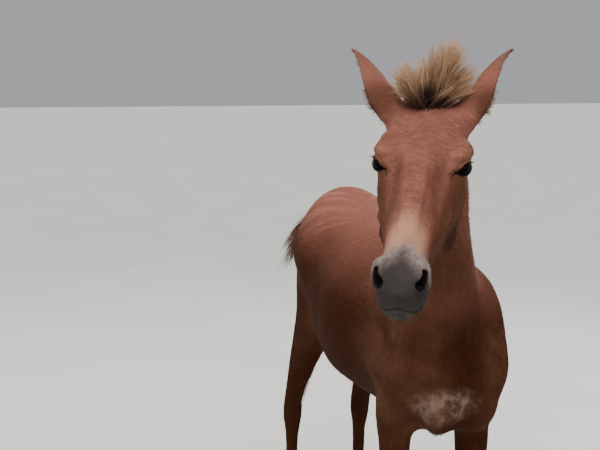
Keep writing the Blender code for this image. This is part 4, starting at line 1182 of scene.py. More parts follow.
def seeded(name):
    return np.random.default_rng(HAIR[name][0])


def long_hair(name, path, rng):
    """Fine round strands along paths, thin at their tips."""
    count, rings = path.shape[0], path.shape[1] - 1
    thickness = HAIR[name][1]
    onward = unit(path[:, 1:] - path[:, :-1])
    across = unit(np.cross(onward, rng.normal(size=(count, 1, 3))))
    up = np.cross(across, onward)
    level = np.arange(rings) / rings
    width = thickness * (0.75 + 0.5 * rng.random((count, 1))) * (1 - 0.65 * level**2)
    places = chart(path[:, 0], onward[:, 0])
    return strand_mesh(name, path, across, up, width, width * 0.8, None, places, rng.random(count))


# Lobes of the forelock: number of its locks, angle from upright towards the animal's left and its spread
# in degrees, and share of its length
FORELOCK_LOBES = (
    (31, -25, 18, 0.73),
    (7, -49, 7, 0.56),
    (34, 13, 9, 1.08),
    (20, 35, 12, 0.80),
    (9, 54, 8, 0.63),
    (3, 68, 5, 0.40),
)


def make_forelock(longest):
    """Upright locks in lobes, which fan out from the crown."""
    rng = seeded("forelock")
    rows = []
    for count, middle, spread, share in FORELOCK_LOBES:
        offset = np.linspace(-1, 1, count) + 0.10 * rng.normal(size=count)
        short = np.where(rng.random(count) < 0.30, 0.72, 1.0)
        reach = share * short * (0.88 + 0.14 * rng.random(count)) * (1 - 0.17 * offset**2)
        rows.append(np.stack([middle + spread * offset, reach], axis=1))
    angle, length = np.concatenate(rows).T
    clumps, length = len(angle), longest * length
    lean = rng.normal(size=clumps)
    side = np.array(head_way(1, 0, 0))
    front = -np.array((math.sin(HEAD_YAW), math.cos(HEAD_YAW), 0.0))
    shift = 0.020 * np.clip(angle / 50, -1.5, 1.5) + 0.008 * rng.normal(size=clumps)
    onward = 0.046 - 34 * shift**2 + 0.010 * lean
    roots = np.array([on_head(x, y, 0.003) for x, y in zip(shift, onward)])
    angle = np.radians(angle)[:, None]
    lean = np.radians(11 * lean - 4)[:, None]
    upright = np.array([0, 0, 1]) * np.cos(lean) + front * np.sin(lean)
    way = side * np.sin(angle) + upright * np.cos(angle)
    drift = side * (0.30 * np.sin(angle)) - np.array([0, 0, 0.30]) * np.abs(np.sin(angle))
    drift = drift + front * 0.25 * lean
    guides = growing(roots, way, length, 7, drift + 0.26 * rng.normal(size=(clumps, 3)))
    path = bundled("forelock", guides, rng)
    path += curl(path, 0.0042, rng)
    return long_hair("forelock", path, rng)


def make_mane(longest):
    """Short locks that stand along the crest."""
    rng = seeded("mane")
    clumps = MANE_LOCKS
    share = np.sort(rng.random(clumps))
    place = 6 + share * (len(CREST_POINTS) - 7)
    low = place.astype(int)
    up, onward, side = CREST_UP[low], CREST_ONWARD[low], CREST_SIDE[low]
    above = np.minimum(low + 1, len(CREST_POINTS) - 1)
    points = CREST_POINTS[low] + (CREST_POINTS[above] - CREST_POINTS[low]) * (place - low)[:, None]
    lean = rng.normal(size=(clumps, 1))
    roots = points + side * 0.006 * lean - up * 0.014
    length = longest * (0.62 + 0.40 * share) * (0.85 + 0.25 * rng.random(clumps))
    length *= 0.55 + 0.45 * rise(share, 0.0, 0.15)
    way = up + side * 0.16 * lean - onward * (0.25 + 0.15 * rng.normal(size=(clumps, 1)))
    drift = side * (0.30 + 0.35 * lean) - onward * 0.55 + 0.15 * rng.normal(size=(clumps, 3))
    guides = growing(roots, way, length, 5, drift)
    return long_hair("mane", bundled("mane", guides, rng), rng)


# Middle of the locks that are blown over the right buttock, in the body's frame
SWISH = (
    (0.030, 1.110, 1.165),
    (-0.020, 1.175, 1.130),
    (-0.078, 1.165, 1.085),
    (-0.124, 1.125, 1.035),
    (-0.158, 1.085, 0.990),
)


def swished(clumps, rings, rng):
    """Locks from the dock that lie across the right buttock."""
    line = smooth_path(SWISH, 12)
    end = (0.55 + 0.42 * rng.random((clumps, 1))) * (len(line) - 1)
    place = np.linspace(0, 1, rings + 1)[None] * end
    guides = np.stack([np.interp(place, np.arange(len(line)), line[:, k]) for k in range(3)], axis=-1)
    level = place[..., None] / (len(line) - 1)
    spread = np.array([0.012, 0.012, 0.024]) * rng.normal(size=(clumps, 1, 3))
    return guides + spread * (0.25 + 0.75 * level) + np.array(BODY_PLACE)


def make_tail():
    """Long locks down the tail, and some blown across the right buttock."""
    rng = seeded("tail_hair")
    clumps, rings = TAIL_LOCKS, 9
    start = 0.02 + 0.36 * rng.random(clumps) ** 1.2
    end = np.minimum(start + 0.50 + 0.30 * rng.random(clumps), 0.90 + 0.10 * rng.random(clumps))
    t = start[:, None] + (end - start)[:, None] * np.linspace(0, 1, rings + 1)[None]
    angle = math.tau * rng.random(clumps)
    outward = np.stack([np.cos(angle), np.sin(angle), 0 * angle], axis=1)[:, None, :]
    full = 0.018 + 0.020 * np.sin(np.pi * np.clip((t - 0.05) / 0.95, 0, 1)) ** 0.8
    full = full * (0.55 + 0.45 * rng.random((clumps, 1))) * (1 - 0.45 * rise(t, 0.60, 1.0))
    waves = 0.004 * np.sin(9 * t + math.tau * rng.random((clumps, 1)))
    guides = tail_line(t) + outward * (full + waves)[..., None]
    guides = np.concatenate([guides, swished(BLOWN_LOCKS, rings, rng)])
    return long_hair("tail_hair", bundled("tail_hair", guides, rng), rng)


def ear_points(hand, along, turn, lift):
    """Points on an ear: shares of its length and of its half arc, and height over its inner side."""
    root, tip_way, open_way, across = (np.array(v) for v in ear_axes(hand))
    table = np.array(EAR)
    half, arc, bow = (np.interp(along, table[:, 0], table[:, k]) for k in (1, 2, 3))
    radius = EAR_WIDTH * half / np.maximum(np.sin(np.radians(np.minimum(arc, 90))), 0.5) - lift
    angle = np.radians(arc) * turn
    middle = root + np.outer(EAR_LENGTH * along, tip_way) - np.outer(EAR_LENGTH * bow, open_way)
    deep = radius * ear_depth(along, angle)
    return middle + np.outer(radius * np.sin(angle), across) - np.outer(deep, open_way)


def make_ear_fuzz():
    """Soft pale hair that fills the cups of the ears and shows along their edges."""
    rng = seeded("ear_fuzz")
    paths = []
    for hand in SIDES.values():
        _, tip_way, open_way, across = (np.array(v) for v in ear_axes(hand))
        count = CUP_LOCKS
        along = 0.03 + 0.80 * rng.random(count) ** 1.5
        edge = np.where(rng.random(count) < 0.5, -1.0, 1.0)
        roots = ear_points(hand, along, edge * (0.55 + 0.42 * rng.random(count)), 0.0015)
        way = open_way * 0.75 - across * edge[:, None] * 0.35 + tip_way * 0.65
        way = way + 0.20 * rng.normal(size=(count, 3))
        length = (0.022 - 0.013 * along) * (0.8 + 0.4 * rng.random(count))
        paths.append(growing(roots, way, length, 4, tip_way * 0.5))
        count = EDGE_LOCKS
        along = -0.02 + 0.28 * rng.random(count)
        edge = np.where(rng.random(count) < 0.5, -1.0, 1.0)
        roots = ear_points(hand, along, edge * (0.86 + 0.12 * rng.random(count)), 0.0)
        way = open_way * 0.7 + tip_way * 0.5 + 0.26 * rng.normal(size=(count, 3))
        length = 0.014 * (0.6 + 0.6 * rng.random(count))
        paths.append(growing(roots, way, length, 4, np.array([0, 0, -0.5])))
    return long_hair("ear_fuzz", bundled("ear_fuzz", np.concatenate(paths), rng), rng)


def lid_rim(hand, u, upper, lift):
    """Points on the edge of a lid, from the eye's middle, and their ways outwards."""
    v = lid_edges(u)[0 if upper else 1]
    a, b = u / EYE_RADIUS, v / EYE_RADIUS
    way = unit(np.stack([np.tan(a), np.tan(b), np.ones_like(a)], axis=1)) @ eye_axes(hand).T
    return eye_middle(hand) + way * (EYE_RADIUS + lift), way


def make_lashes():
    """Lashes along the upper and lower lids."""
    rng = seeded("lashes")
    paths = []
    for hand in SIDES.values():
        axes = eye_axes(hand)
        for upper, count, reach in ((True, 90, 0.0100), (False, 40, 0.0045)):
            u = LID_HALF_LENGTH * (-0.92 + 1.70 * rng.random(count))
            roots, out = lid_rim(hand, u, upper, 0.0016)
            rising = axes[:, 1] * (0.15 if upper else -0.6)
            way = out + rising - np.outer(0.25 * u / LID_HALF_LENGTH, -axes[:, 0])
            way = way + 0.10 * rng.normal(size=(count, 3))
            length = reach * (0.7 + 0.5 * rng.random(count))
            length = length * (1 - 0.45 * np.abs(u / LID_HALF_LENGTH) ** 2)
            drift = axes[:, 1] * (0.55 if upper else -0.3) - np.array([0, 0, 0.25])
            paths.append(growing(roots, way, length, 4, drift))
    return long_hair("lashes", np.concatenate(paths), rng)


def make_whiskers(skin, longest):
    """Long fine feelers on the lips and the chin, and a few round the nostrils."""
    rng = seeded("whiskers")
    points, normals = read(skin.data.vertices, "co"), mesh_normals(skin.data)
    _, nose, down = head_coordinates(points).T
    ok = (head_share(points) > 0.9) & (bare(points) < 0.05)
    lips = ok & (nose > 0.43) & (down > 0.070) & (down < 0.17)
    sides = ok & (nose > 0.45) & (down < 0.075)
    wanted = ((lips, LIP_WHISKERS), (sides, SIDE_WHISKERS))
    picks = np.concatenate([rng.choice(np.flatnonzero(rows), number) for rows, number in wanted])
    points, normals, count = points[picks], normals[picks], len(picks)
    way = normals + np.array([0, 0, -0.25]) + 0.25 * rng.normal(size=(count, 3))
    length = longest * (0.35 + 0.65 * rng.random(count) ** 1.5)
    path = growing(points - normals * 0.0005, way, length, 5, 0.5 * rng.normal(size=(count, 3)))
    return long_hair("whiskers", path, rng)


# ---------------------------------------------------------------- eyes and hooves


def make_eye(name, hand):
    """An eyeball with a bulging cornea over a flat iris and a level oval pupil."""
    bm = bmesh.new()
    bmesh.ops.create_uvsphere(bm, u_segments=72, v_segments=48, radius=EYE_RADIUS - 0.0012)
    eye = object_from_bmesh(name, bm)
    local = read(eye.data.vertices, "co")
    facing = local[:, 2] / np.linalg.norm(local, axis=1)
    local = local * (1 + 0.052 * rise(facing, 0.62, 0.93))[:, None]
    add_values(eye.data, "gaze_along", local[:, 0] / EYE_RADIUS)
    add_values(eye.data, "gaze_up", local[:, 1] / EYE_RADIUS)
    add_values(eye.data, "gaze_out", facing)
    axes = eye_axes(hand)
    place_points(eye.data, local @ axes.T + eye_middle(hand))
    if np.linalg.det(axes) < 0:
        bm = bmesh.new()
        bm.from_mesh(eye.data)
        bmesh.ops.recalc_face_normals(bm, faces=bm.faces)
        bm.to_mesh(eye.data)
        bm.free()
    eye.data.shade_smooth()
    return eye


def hoof_ring(level, swell, lifted):
    """One ring of a hoof round the foot's place: sides, lengths and heights."""
    table = np.array(HOOF)
    half, toe, heel, shift = (np.interp(level, table[:, 0], table[:, k]) for k in (1, 2, 3, 4))
    angles = np.arange(HOOF_SEGMENTS) * math.tau / HOOF_SEGMENTS
    back = np.sin(angles)
    y = shift + (np.where(back > 0, heel, toe) + swell) * back * (1 - 0.05 * np.maximum(0, back) ** 6)
    top = HOOF_HEIGHT - CORONET_SLOPE * y
    return np.stack([(half + swell) * np.cos(angles), y, top * min(level, 1.0) + lifted], axis=1)


def make_hoof(name, side, along):
    """A wall with growth rings under a soft coronet, on a hollow sole."""
    growth = [(k / HOOF_RINGS, 0.00045 * math.sin(k * 1.9) * (k > 1), 0.0) for k in range(HOOF_RINGS)]
    bm = bmesh.new()
    place = np.array((side + BODY_PLACE.x, along + BODY_PLACE.y, 0.0))
    loft(bm, [hoof_ring(*step) + place for step in growth + HOOF_TOP])
    bm.faces.ensure_lookup_table()
    sole = [min(bm.faces, key=lambda face: face.calc_center_median().z)]
    bmesh.ops.recalc_face_normals(bm, faces=bm.faces)
    for thickness, depth in ((0.0065, 0.0), (0.0040, -0.0035), (0.0090, -0.0010)):
        bmesh.ops.inset_region(bm, faces=sole, thickness=thickness, depth=depth)
    hoof = object_from_bmesh(name, bm)
    hoof.data.shade_smooth()
    return hoof


def make_coat(skin, share):
    """Short tufts that lie along the body, in several parts."""
    rng = np.random.default_rng(COAT_SEED)
    roots, normals, part = scatter(skin, rng)
    way = lie_of_coat(roots, normals)
    across = np.cross(way, normals)
    swing = 0.20 * wobble(roots, 34.0, 0.4) + 0.16 * rng.normal(size=len(roots))
    way = unit(way + across * swing[:, None])
    _, table_length, table_width, table_lift = np.array([COAT[name] for name in part]).T
    length = table_length * coat_length(roots, normals) * (0.75 + 0.5 * rng.random(len(roots)))
    length *= share
    clump = wobble(roots, 160.0, 1.9)
    lift = table_lift * (0.8 + 0.5 * clump + 0.6 * rng.random(len(roots)))
    width = table_width * (0.75 + 0.5 * rng.random(len(roots)))
    tint = np.clip(0.5 + 0.22 * rng.normal(size=len(roots)) + 0.22 * clump, 0, 1)
    first = roots - normals * 0.0002
    path = np.stack([first, first + (way + normals * lift[:, None]) * length[:, None]], axis=1)
    across = unit(np.cross(way, normals))[:, None, :]
    up, width, thick = normals[:, None, :], width[:, None], width[:, None] * 0.35
    for name in COAT:
        own = part == name
        strands = [rows[own] for rows in (path, across, up, width, thick, normals)]
        yield strand_mesh(name, *strands, chart(roots[own], normals[own]), tint[own])


# ---------------------------------------------------------------- materials


def sum_node(operation, turned=False):
    """What an arithmetic sign does to a port: it adds a Math node."""

    def method(self, other):
        pair = (other, self) if turned else (self, other)
        return self.math(operation, *pair)

    return method


class Port:
    """A socket of a shader. Arithmetic on it adds Math nodes."""

    __add__ = sum_node("ADD")
    __radd__ = sum_node("ADD", turned=True)
    __sub__ = sum_node("SUBTRACT")
    __rsub__ = sum_node("SUBTRACT", turned=True)
    __mul__ = sum_node("MULTIPLY")
    __rmul__ = sum_node("MULTIPLY", turned=True)
    __truediv__ = sum_node("DIVIDE")
    most = sum_node("MAXIMUM")

    def __init__(self, tree, socket):
        self.tree = tree
        self.socket = socket

    def node(self, kind, settings, values, out=0):
        """Any node: its type, its settings, then the values or links of its sockets."""
        node = self.tree.nodes.new(kind)
        for key, setting in settings.items():
            setattr(node, key, setting)
        for key, value in values.items():
            if isinstance(value, Port):
                self.tree.links.new(value.socket, node.inputs[key])
            else:
                node.inputs[key].default_value = value
        return Port(self.tree, node.outputs[out])

    def math(self, operation, *values):
        return self.node("ShaderNodeMath", {"operation": operation}, dict(enumerate(values)))

    def __abs__(self):
        return self.math("ABSOLUTE", self)

    def step(self, low, high):
        """0 below low, 1 above high, smooth between. The other way round where low is above high."""
        falling = float(low > high)
        low, high = sorted((low, high))
        ends = {"Value": self, "From Min": low, "From Max": high, "To Min": falling, "To Max": 1 - falling}
        return self.node("ShaderNodeMapRange", {"interpolation_type": "SMOOTHSTEP"}, ends)

    def vector(self, operation, other, out=0):
        return self.node("ShaderNodeVectorMath", {"operation": operation}, {0: self, 1: other}, out)

    def dot(self, way):
        return self.vector("DOT_PRODUCT", tuple(way), 1)

    def stretched(self, scale):
        return self.vector("MULTIPLY", tuple(scale))

    def joined(self, second, third):
        return self.node("ShaderNodeCombineXYZ", {}, {0: self, 1: second, 2: third})

    def noise(self, scale=1.0, detail=2.0):
        return self.node("ShaderNodeTexNoise", {}, {"Vector": self, "Scale": scale, "Detail": detail})

    def away(self, centre, radii):
        """Distance from a point, in radii."""
        offset = self.vector("SUBTRACT", tuple(centre)).stretched(1 / r for r in radii)
        return offset.node("ShaderNodeVectorMath", {"operation": "LENGTH"}, {0: offset}, 1)

    def mixed(self, first, second):
        """Two colours mixed by this factor."""
        return self.node("ShaderNodeMix", {"data_type": "RGBA"}, {0: self, 6: first, 7: second}, 2)

    def attribute(self, name):
        return self.node("ShaderNodeAttribute", {"attribute_name": name}, {}, 2)

    def toned(self, colour):
        """A colour made brighter or darker by this factor."""
        return self.node("ShaderNodeHueSaturation", {}, {"Value": self, "Color": colour})


def linear(red, green, blue):
    """A colour from 0 to 255 as the eye sees it."""
    parts = [v / 255 for v in (red, green, blue)]
    return (*[v / 12.92 if v <= 0.04045 else ((v + 0.055) / 1.055) ** 2.4 for v in parts], 1.0)


def shade(colour, amount, grey=0.0):
    """A colour made darker or lighter, and drawn towards its own grey."""
    parts = [amount * part for part in colour[:3]]
    middle = 0.3 * parts[0] + 0.5 * parts[1] + 0.2 * parts[2]
    return (*[part + (middle - part) * grey for part in parts], 1.0)


def new_material(name, **constants):
    """A Principled material, with what is the same all over set on the shader's own sockets."""
    material = bpy.data.materials.new(name)
    material.use_nodes = True
    tree = material.node_tree
    shader = tree.nodes["Principled BSDF"]
    for key, value in constants.items():
        shader.inputs[key.replace("_", " ").title().replace("Ior", "IOR")].default_value = value
    place = tree.nodes.new("ShaderNodeTexCoord")
    return material, Port(tree, place.outputs["Object"]), shader


def feed(shader, port, key):
    port.tree.links.new(port.socket, shader.inputs[key])


def bump(shader, height, distance, strength):
    values = {"Height": height, "Distance": distance, "Strength": strength}
    feed(shader, height.node("ShaderNodeBump", {}, values), "Normal")


TAN = linear(176, 126, 96)
GREY_PATCH = linear(150, 124, 110)
SLATE_TOP = linear(141, 124, 117)
STAIN = linear(80, 77, 64)
BLACK_SKIN = linear(20, 15, 14)


def both(place, centres, radii, low, high):
    """Soft patches round two centres: 1 inside them, 0 outside."""
    left, right = (place.away(centre, radii).step(low, high) for centre in centres)
    return left.most(right)


def head_ports(place):
    """(side, along, down) in the head's frame."""
    side, along, up = (place.dot(axis) - HEAD_PLACE.dot(axis) for axis in HEAD_TURN.transposed())
    return side, along, -1.0 * up


def head_colour(place, settings):
    """Colour of the head: sorrel, cheeks and jowls darkened with painted shade, painted shade beside the
    bridge, brows, a mealy band and a slate muzzle.
    """
    side, along, down = head_ports(place)
    across = abs(side)
    sorrel, deep, slate = settings.sorrel, settings.deep, tuple(settings.slate)
    ripples = (side * 55.0).joined(along * 230.0, down * 90.0).noise(1.0, 2.0)
    patches = place.noise(24.0, 3.0)
    colour = patches.step(0.32, 0.70).mixed(shade(sorrel, 0.74), shade(sorrel, 0.96))
    colour = (ripples.step(0.50, 0.72) * 0.38).mixed(colour, shade(sorrel, 1.5, 0.22))
    colour = (ripples.step(0.46, 0.30) * 0.40).mixed(colour, shade(sorrel, 0.55))
    # Painted shade: the cheeks and the lower sides of the head are darkened where they turn away from the
    # light above.
    cheek = (down + 0.5 * across + 0.015 * patches).step(0.056, 0.100) * along.step(0.12, 0.22)
    cheek = cheek.most((down + 0.015 * patches).step(0.040, 0.090) * along.step(0.02, 0.10))
    colour = (cheek * 0.90).mixed(colour, shade(deep, 0.92))
    # Painted shade on the lower jowls, which turn down and away from the light.
    under = [on_head(hand * 0.068, 0.256, 0.172) for hand in SIDES.values()]
    jowl_shade = both(place, under, (0.046, 0.088, 0.052), 1.0, 0.35)
    colour = (jowl_shade * 0.85).mixed(colour, shade(deep, 0.42))
    above = [Vector(eye_middle(hand)) + head_way(0, -0.4, -1) * 0.024 for hand in SIDES.values()]
    brows = both(place, above, (0.030, 0.030, 0.015), 1.0, 0.4)
    colour = (brows * 0.44).mixed(colour, TAN)
    # Painted shade in a strip on each side of the nose's bridge.
    bridge_shade = (across - 0.024).step(0.0, 0.010) * (across - 0.040).step(0.014, 0.0)
    bridge_shade = bridge_shade * along.step(0.18, 0.23) * along.step(0.37, 0.30)
    colour = (bridge_shade * 0.60).mixed(colour, shade(deep, 0.80))
    wavy = along + 0.034 * (place.noise(26.0, 2.0) - 0.5) + 0.012 * (place.noise(150.0, 2.0) - 0.5)
    band = (wavy - 0.10 * across).step(0.318, 0.392) * (across + 0.25 * down).step(0.060, 0.026)
    colour = (band * 0.85).mixed(colour, tuple(settings.mealy))
    grizzled = patches.step(0.35, 0.65).mixed(slate, shade(slate, 0.72))
    muzzle = (wavy + 0.10 * down - 0.30 * across).step(0.396, 0.440)
    lighter = (wavy + 0.50 * down - 1.10 * across).step(0.474, 0.414)
    lighter = lighter * (0.62 + 0.5 * place.noise(130.0, 3.0).step(0.35, 0.65))
    grizzled = lighter.mixed(grizzled, SLATE_TOP)
    colour = (muzzle * 0.97).mixed(colour, grizzled)
    lips = down.step(0.060, 0.092) * muzzle * place.noise(60.0, 2.0).step(0.34, 0.60)
    return (lips * 0.58).mixed(colour, STAIN)


def body_colour(place, settings):
    """Colour of the neck, trunk and legs: deep sorrel that is lighter and streaked on the back, partly by
    painted light and shade, with painted shade on the buttocks and the chest's middle.
    """
    side, onward, height = (place.dot(way) for way in Matrix.Identity(3))
    side, onward = side - BODY_PLACE.x, onward - BODY_PLACE.y
    across, aside = abs(side), abs(side - SWAY)
    sorrel, deep, liver = tuple(settings.sorrel), tuple(settings.deep), tuple(settings.liver)
    broad = place.noise(3.4, 2.0) - 0.5
    mottled = place.stretched((1, 0.5, 1)).noise(17.0, 3.0)
    # Shoulders and the chest's sides in deep sorrel, the rest in liver: partly the coat's own colour,
    # partly painted shade. The chest's middle, under the neck, keeps the darker liver as painted shade.
    forequarter = onward.step(0.42, 0.20) * across.step(0.010, 0.095) * height.step(0.62, 0.78)
    share = (0.14 + 0.75 * forequarter) * mottled.step(0.10, 0.85) + 0.25 * forequarter
    colour = share.mixed(liver, deep)
    # Lighter towards the back and darker below: partly the coat's own colour, partly painted light and
    # shade of the light from above.
    colour = (height + 0.10 * broad).step(1.00, 1.25).mixed(colour, sorrel)
    croup = onward.step(0.62, 0.90) * (height + 0.12 * broad).step(1.06, 1.22)
    croup = croup * aside.step(0.004, 0.050)
    half = aside.joined(onward, height)
    strands = half.dot((30.0, -24.4, -15.9)).joined(half.dot((0.7, 1.6, -1.1)), half.dot((3.6, 1.5, 4.6)))
    streaks = strands.noise(1.0, 2.0)
    # Light streaks across the croup are painted sheen along the lie of the hair, with darker streaks
    # between them.
    colour = (croup * streaks.step(0.44, 0.70) * 0.50).mixed(colour, shade(sorrel, 1.7, 0.20))
    colour = (croup * streaks.step(0.44, 0.28) * 0.34).mixed(colour, shade(sorrel, 0.60))
    # Painted shade on the buttocks, below the croup.
    buttock = half.away((0.140, 1.05, 1.00), (0.14, 0.20, 0.12)).step(1.0, 0.35)
    colour = (buttock * (0.66 + 0.8 * streaks)).mixed(colour, shade(deep, 0.62))
    flank = place.away(on_body((SWAY, 0.84, 0.86)), (0.24, 0.14, 0.18)).step(1.0, 0.3)
    colour = (flank * 0.75).mixed(colour, shade(deep, 1.15))
    chest = place.away(on_body((-0.048, 0.02, 0.832)), (0.105, 0.12, 0.062)).step(1.0, 0.40)
    chest = chest * (0.20 + 0.6 * place.noise(40.0, 3.0).step(0.38, 0.64))
    return (chest * 0.95).mixed(colour, GREY_PATCH)


def markings(place, settings):
    """Colour of the whole skin: head, body and ears, with painted shade round the feet of the ears."""
    _, along, _ = head_ports(place)
    height = place.dot((0, 0, 1))
    head = (along + 0.02 * place.noise(12.0)).step(-0.02, 0.06) * height.step(1.08, 1.14)
    colour = head.mixed(body_colour(place, settings), head_colour(place, settings))
    ears = height.step(HEAD_PLACE.z + 0.02, HEAD_PLACE.z + 0.08)
    colour = (ears * 0.8).mixed(colour, shade(settings.sorrel, 0.78, 0.12))
    # Painted shade round the feet of the ears.
    roots = [on_head(hand * 0.110, 0.022, 0.018) for hand in SIDES.values()]
    feet = both(place, roots, (0.044, 0.10, 0.054), 1.1, 0.40)
    return (feet * 0.68).mixed(colour, shade(settings.deep, 0.75))


def skin_material(settings):
    material, place, shader = new_material("coat_skin", roughness=0.80, specular_ior_level=0.05)
    feed(shader, place.attribute("bare").mixed(markings(place, settings), BLACK_SKIN), "Base Color")
    side, along, down = head_ports(place)
    ripples = (side * 30.0).joined(along * 170.0, down * 60.0).noise(1.0, 2.0)
    hairs = place.stretched((1, 0.12, 0.35)).noise(420.0, 2.0)
    bump(shader, hairs * 0.5 + ripples, 0.0016, 0.6)
    return material


def coat_material(settings):
    material, place, shader = new_material("coat_tufts", roughness=0.75, specular_ior_level=0.05)
    tint, tip = place.attribute("tint"), place.attribute("tip")
    feed(shader, (0.78 + 0.34 * tint + 0.20 * tip).toned(markings(place, settings)), "Base Color")
    return material


def hair_material(name, root, middle, tip_colour, core=None):
    """Hair that turns from the colour of its roots to that of its tips, with a dark core at a place."""
    material, place, shader = new_material(name, roughness=0.5, specular_ior_level=0.35)
    tint, tip = place.attribute("tint"), place.attribute("tip")
    level = tip + 0.35 * (tint - 0.5)
    colour = level.step(0.06, 0.42).mixed(root, middle)
    colour = level.step(0.34, 0.82).mixed(colour, tip_colour)
    if core is not None:
        centre, radii, dark = core
        colour = place.away(centre, radii).step(1.15, 0.45).mixed(colour, dark)
    feed(shader, (0.70 + 0.6 * tint).toned(colour), "Base Color")
    return material


def eye_material():
    material, place, shader = new_material("eye_wet", roughness=0.04, specular_ior_level=0.02)
    across, up, out = (place.attribute(key) for key in ("gaze_along", "gaze_up", "gaze_out"))
    pupil = (across * across / 0.105 + up * up / 0.030).step(1.15, 0.85)
    iris = across * across + up * up
    colour = iris.math("SQRT", iris).step(0.30, 0.66).mixed(linear(18, 10, 7), linear(9, 6, 5))
    colour = pupil.mixed(colour, linear(3, 3, 5))
    colour = out.step(0.72, 0.62).mixed(colour, linear(28, 18, 16))
    feed(shader, colour, "Base Color")
    return material


def hoof_material(settings):
    material, place, shader = new_material("horn", roughness=0.55, specular_ior_level=0.4)
    height = place.dot((0, CORONET_SLOPE, 1))
    values = {"W": height, "Scale": 260.0, "Detail": 2.0}
    rings = height.node("ShaderNodeTexNoise", {"noise_dimensions": "1D"}, values)
    streaks = place.stretched((1, 1, 0.06)).noise(160.0, 3.0)
    horn = tuple(settings.horn)
    colour = (0.6 * rings + 0.4 * streaks).step(0.35, 0.68).mixed(shade(horn, 0.5), shade(horn, 1.6))
    dust = place.dot((0, 0, 1)).step(0.018, 0.0) * place.noise(90.0, 3.0).step(0.35, 0.7)
    feed(shader, (dust * 0.6).mixed(colour, linear(142, 128, 108)), "Base Color")
    bump(shader, rings * 0.7 + streaks * 0.5, 0.0012, 0.7)
    return material


def floor_material():
    material, place, shader = new_material("floor_paint", roughness=0.85)
    tone = place.noise(1.4, 2.0).step(0.2, 0.8)
    feed(shader, tone.mixed(linear(206, 205, 200), linear(214, 213, 208)), "Base Color")
    return material


# ---------------------------------------------------------------- the stage


def light(name, kind, power, tint, way):
    """A lamp that shines the given way."""
    lamp = bpy.data.lights.new(name, kind)
    lamp.energy = power
    lamp.color = tint
    obj = new_object(name, lamp)
    obj.rotation_euler = way.to_track_quat("-Z", "Y").to_euler()
    return obj


def make_stage():
    """A plain floor, a pale sky, soft lamps and the camera."""
    bm = bmesh.new()
    bmesh.ops.create_grid(bm, x_segments=2, y_segments=2, size=FLOOR_SIZE)
    bmesh.ops.translate(bm, verts=bm.verts, vec=(0, 0, -0.0005))
    floor = object_from_bmesh("floor", bm)
    floor.data.materials.append(floor_material())

    world = bpy.data.worlds.new("studio")
    world.use_nodes = True
    sky = world.node_tree.nodes["Background"].inputs
    sky[0].default_value = SKY_TINT
    sky[1].default_value = SKY_POWER
    bpy.context.scene.world = world
    sun = light("overcast", "SUN", SUN_POWER, SUN_TINT, SUN_WAY)
    sun.data.angle = SUN_SPREAD
    for name, (place, target, size, power, tint) in LAMPS.items():
        lamp = light(name, "AREA", power, tint, Vector(target) - Vector(place))
        lamp.location = place
        lamp.data.shape = "DISK"
        lamp.data.size = size

    lens = bpy.data.cameras.new("view")
    lens.lens = LENS
    lens.sensor_width = SENSOR
    lens.sensor_fit = "HORIZONTAL"
    lens.dof.use_dof = False
    camera = new_object("view", lens)
    camera.location = EYE_POINT + BODY_PLACE
    level = math.cos(EYE_DROP)
    way = Vector((math.sin(EYE_TURN) * level, math.cos(EYE_TURN) * level, -math.sin(EYE_DROP)))
    camera.rotation_euler = way.to_track_quat("-Z", "Y").to_euler()
    bpy.context.scene.camera = camera


# ---------------------------------------------------------------- settings, operators and panel


def length_property(name, description, default, low):
    return bpy.props.FloatProperty(
        name=name, description=description, default=default, min=low, unit="LENGTH"
    )


def colour_property(name, description, default):
    return bpy.props.FloatVectorProperty(
        name=name, description=description, default=default, size=4, min=0.0, max=1.0, subtype="COLOR"
    )


class MuleSettings(bpy.types.PropertyGroup):
    """Sizes and colours of the mule."""

    coat_length: bpy.props.FloatProperty(
        name="Coat Length", description="Share of the summer coat's length", default=1.0, min=0.3, max=3.0
    )
    forelock_length: length_property("Forelock Length", "Length of the longest forelock hair", 0.145, 0.03)
    mane_length: length_property("Mane Length", "Length of the mane near the poll", 0.106, 0.02)
    whisker_length: length_property("Whisker Length", "Length of the longest feelers", 0.024, 0.005)
    # Sorrel is drawn a little towards blue: partly the coat's own colour, partly a painted sheen of the
    # sky.
    sorrel: colour_property("Sorrel", "Main colour of the coat", linear(142, 90, 76))
    deep: colour_property("Deep Sorrel", "Colour of the shoulders, flanks and legs", linear(92, 58, 41))
    # The liver's darkness on the barrel and the legs is partly painted shade.
    liver: colour_property("Liver", "Darkest parts of the barrel and the legs", linear(56, 27, 12))
    mealy: colour_property("Mealy", "Light band above the muzzle", linear(188, 140, 112))
    slate: colour_property("Slate", "Grey of the muzzle", linear(55, 54, 54))
    root: colour_property("Hair Roots", "Mane and forelock at their roots", linear(44, 24, 18))
    flaxen: colour_property("Hair Tips", "Mane and forelock at their tips", linear(186, 148, 114))
    horn: colour_property("Horn", "Colour of the hooves", linear(84, 74, 64))


def dress(piece, material, slot, *nodes):
    """Gives a piece its material and its body, and hides the nodes that it replaces. The slot is not used.
    """
    piece.data.materials.clear()
    piece.data.materials.append(material)
    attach(piece, "root")
    if nodes:
        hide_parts(*nodes)


def skin_object():
    """The skin that the hair grows on."""
    skin = bpy.data.objects.get("skin")
    if skin is None:
        raise RuntimeError("The skin comes before what grows on it")
    return skin


class MULE_OT_skin(bpy.types.Operator):
    """Make the skin of the head, neck, trunk, legs and ears"""

    bl_idname = "mule.skin"
    bl_label = "Skin"
    bl_options = {"REGISTER", "UNDO"}

    def execute(self, context):
        settings = context.scene.mule
        dress(make_skin(), skin_material(settings), "coat", *FLESH)
        return {"FINISHED"}


